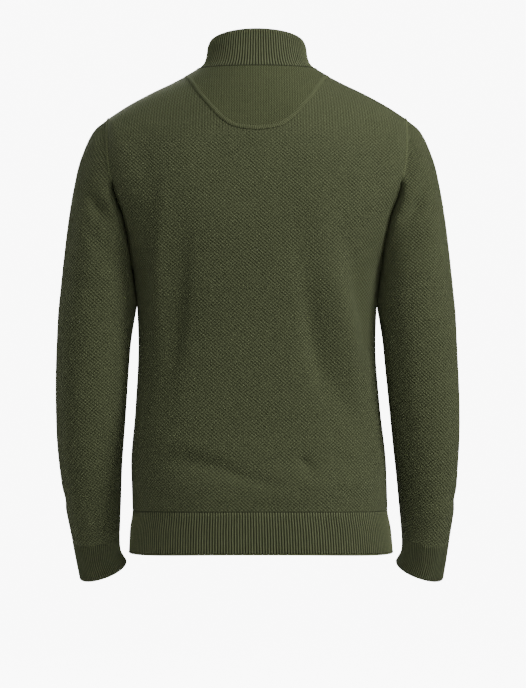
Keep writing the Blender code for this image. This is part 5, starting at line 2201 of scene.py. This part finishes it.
LIGHTS = (
    Light("key_light", (-1.80, 1.15, 1.10), 0.9, 60.5),
    Light("top_light", (-0.6, 0.4, 3.4), 2.0, 14.5),
    Light("fill_light", (-0.25, 2.5, 1.80), 1.4, 46.5),
    Light("side_light", (2.6, -1.5, 0.8), 1.0, 32.0),
    Light("front_light", (1.4, -3.4, 1.2), 1.6, 150.0),
)


@dataclass
class Studio:
    """A round pale floor that curves up into a wall, soft lights and the camera."""

    floor_z: float = -1.50
    floor_radius: float = 6.0
    wall_radius: float = 8.0
    wall_height: float = 5.0
    bend_steps: int = 8
    spin_steps: int = 64
    lights_face: Point = (0.0, 0.0, -0.35)
    camera_place: Point = (-0.0088, 3.18, -0.3989)
    lens: float = 115.5
    sensor: float = 36.0
    sky_light: float = 0.03
    sky_seen: float = 9.0

    def build_floor(self) -> None:
        """Spins the floor's profile round the upright axis."""
        bm = bmesh.new()
        rim = self.wall_radius - self.floor_radius
        outline = [(0.0, self.floor_z), (self.floor_radius, self.floor_z)]
        for number in range(1, self.bend_steps + 1):
            angle = math.pi / 2 * number / self.bend_steps
            outline.append((self.floor_radius + rim * math.sin(angle),
                            self.floor_z + rim * (1 - math.cos(angle))))
        outline.append((self.wall_radius, self.floor_z + self.wall_height))
        verts = [bm.verts.new((x, 0.0, z)) for x, z in outline]
        edges = [bm.edges.new(pair) for pair in zip(verts, verts[1:])]
        bmesh.ops.spin(bm, geom=verts + edges, cent=(0, 0, 0), axis=(0, 0, 1),
                       angle=2 * math.pi, steps=self.spin_steps, use_merge=True)
        bmesh.ops.remove_doubles(bm, verts=bm.verts[:], dist=SAME_PLACE)
        bmesh.ops.recalc_face_normals(bm, faces=bm.faces[:])
        floor = make_object("studio_floor", bm, FloorFinish().build())

    def build(self) -> None:
        """Builds floor, lights, world and camera."""
        self.build_floor()
        for light in LIGHTS:
            light.build(self.lights_face)
        world = bpy.data.worlds.new("studio_world")
        world.use_nodes = True
        sky = world.node_tree.nodes["Background"]
        sky.inputs["Color"].default_value = (1.0, 1.0, 1.0, 1.0)
        wire = Wiring(world.node_tree)
        seen = world.node_tree.nodes.new("ShaderNodeLightPath").outputs["Is Camera Ray"]
        wire.put(wire.math("MULTIPLY_ADD", seen, self.sky_seen - self.sky_light,
                           self.sky_light), sky.inputs["Strength"])
        bpy.context.scene.world = world
        data = bpy.data.cameras.new("view_camera")
        data.lens = self.lens
        data.sensor_width = self.sensor
        camera = bpy.data.objects.new("view_camera", data)
        camera.location = self.camera_place
        camera.rotation_euler = (math.radians(90), 0.0, math.radians(180))
        bpy.context.scene.collection.objects.link(camera)
        bpy.context.scene.camera = camera


def main() -> None:
    """Builds the cardigan piece by piece, then the studio."""
    logging.basicConfig(level=logging.INFO, format="%(name)s %(message)s")
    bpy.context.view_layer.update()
    finishes = Finishes()
    body = BodyForm()
    sleeve = SleeveForm(body)
    collar = CollarForm()
    panels = Panels(body, finishes)
    panels.build()
    Sleeves(sleeve, finishes).build()
    HemBand(body, finishes).build()
    StandCollar(collar, finishes).build()
    patch = NeckPatch(panels)
    patch.build()
    Seams(body, sleeve, collar, patch, finishes).build()
    Zip(body, collar, finishes).build()
    Studio().build()


if __name__ == "__main__":
    main()
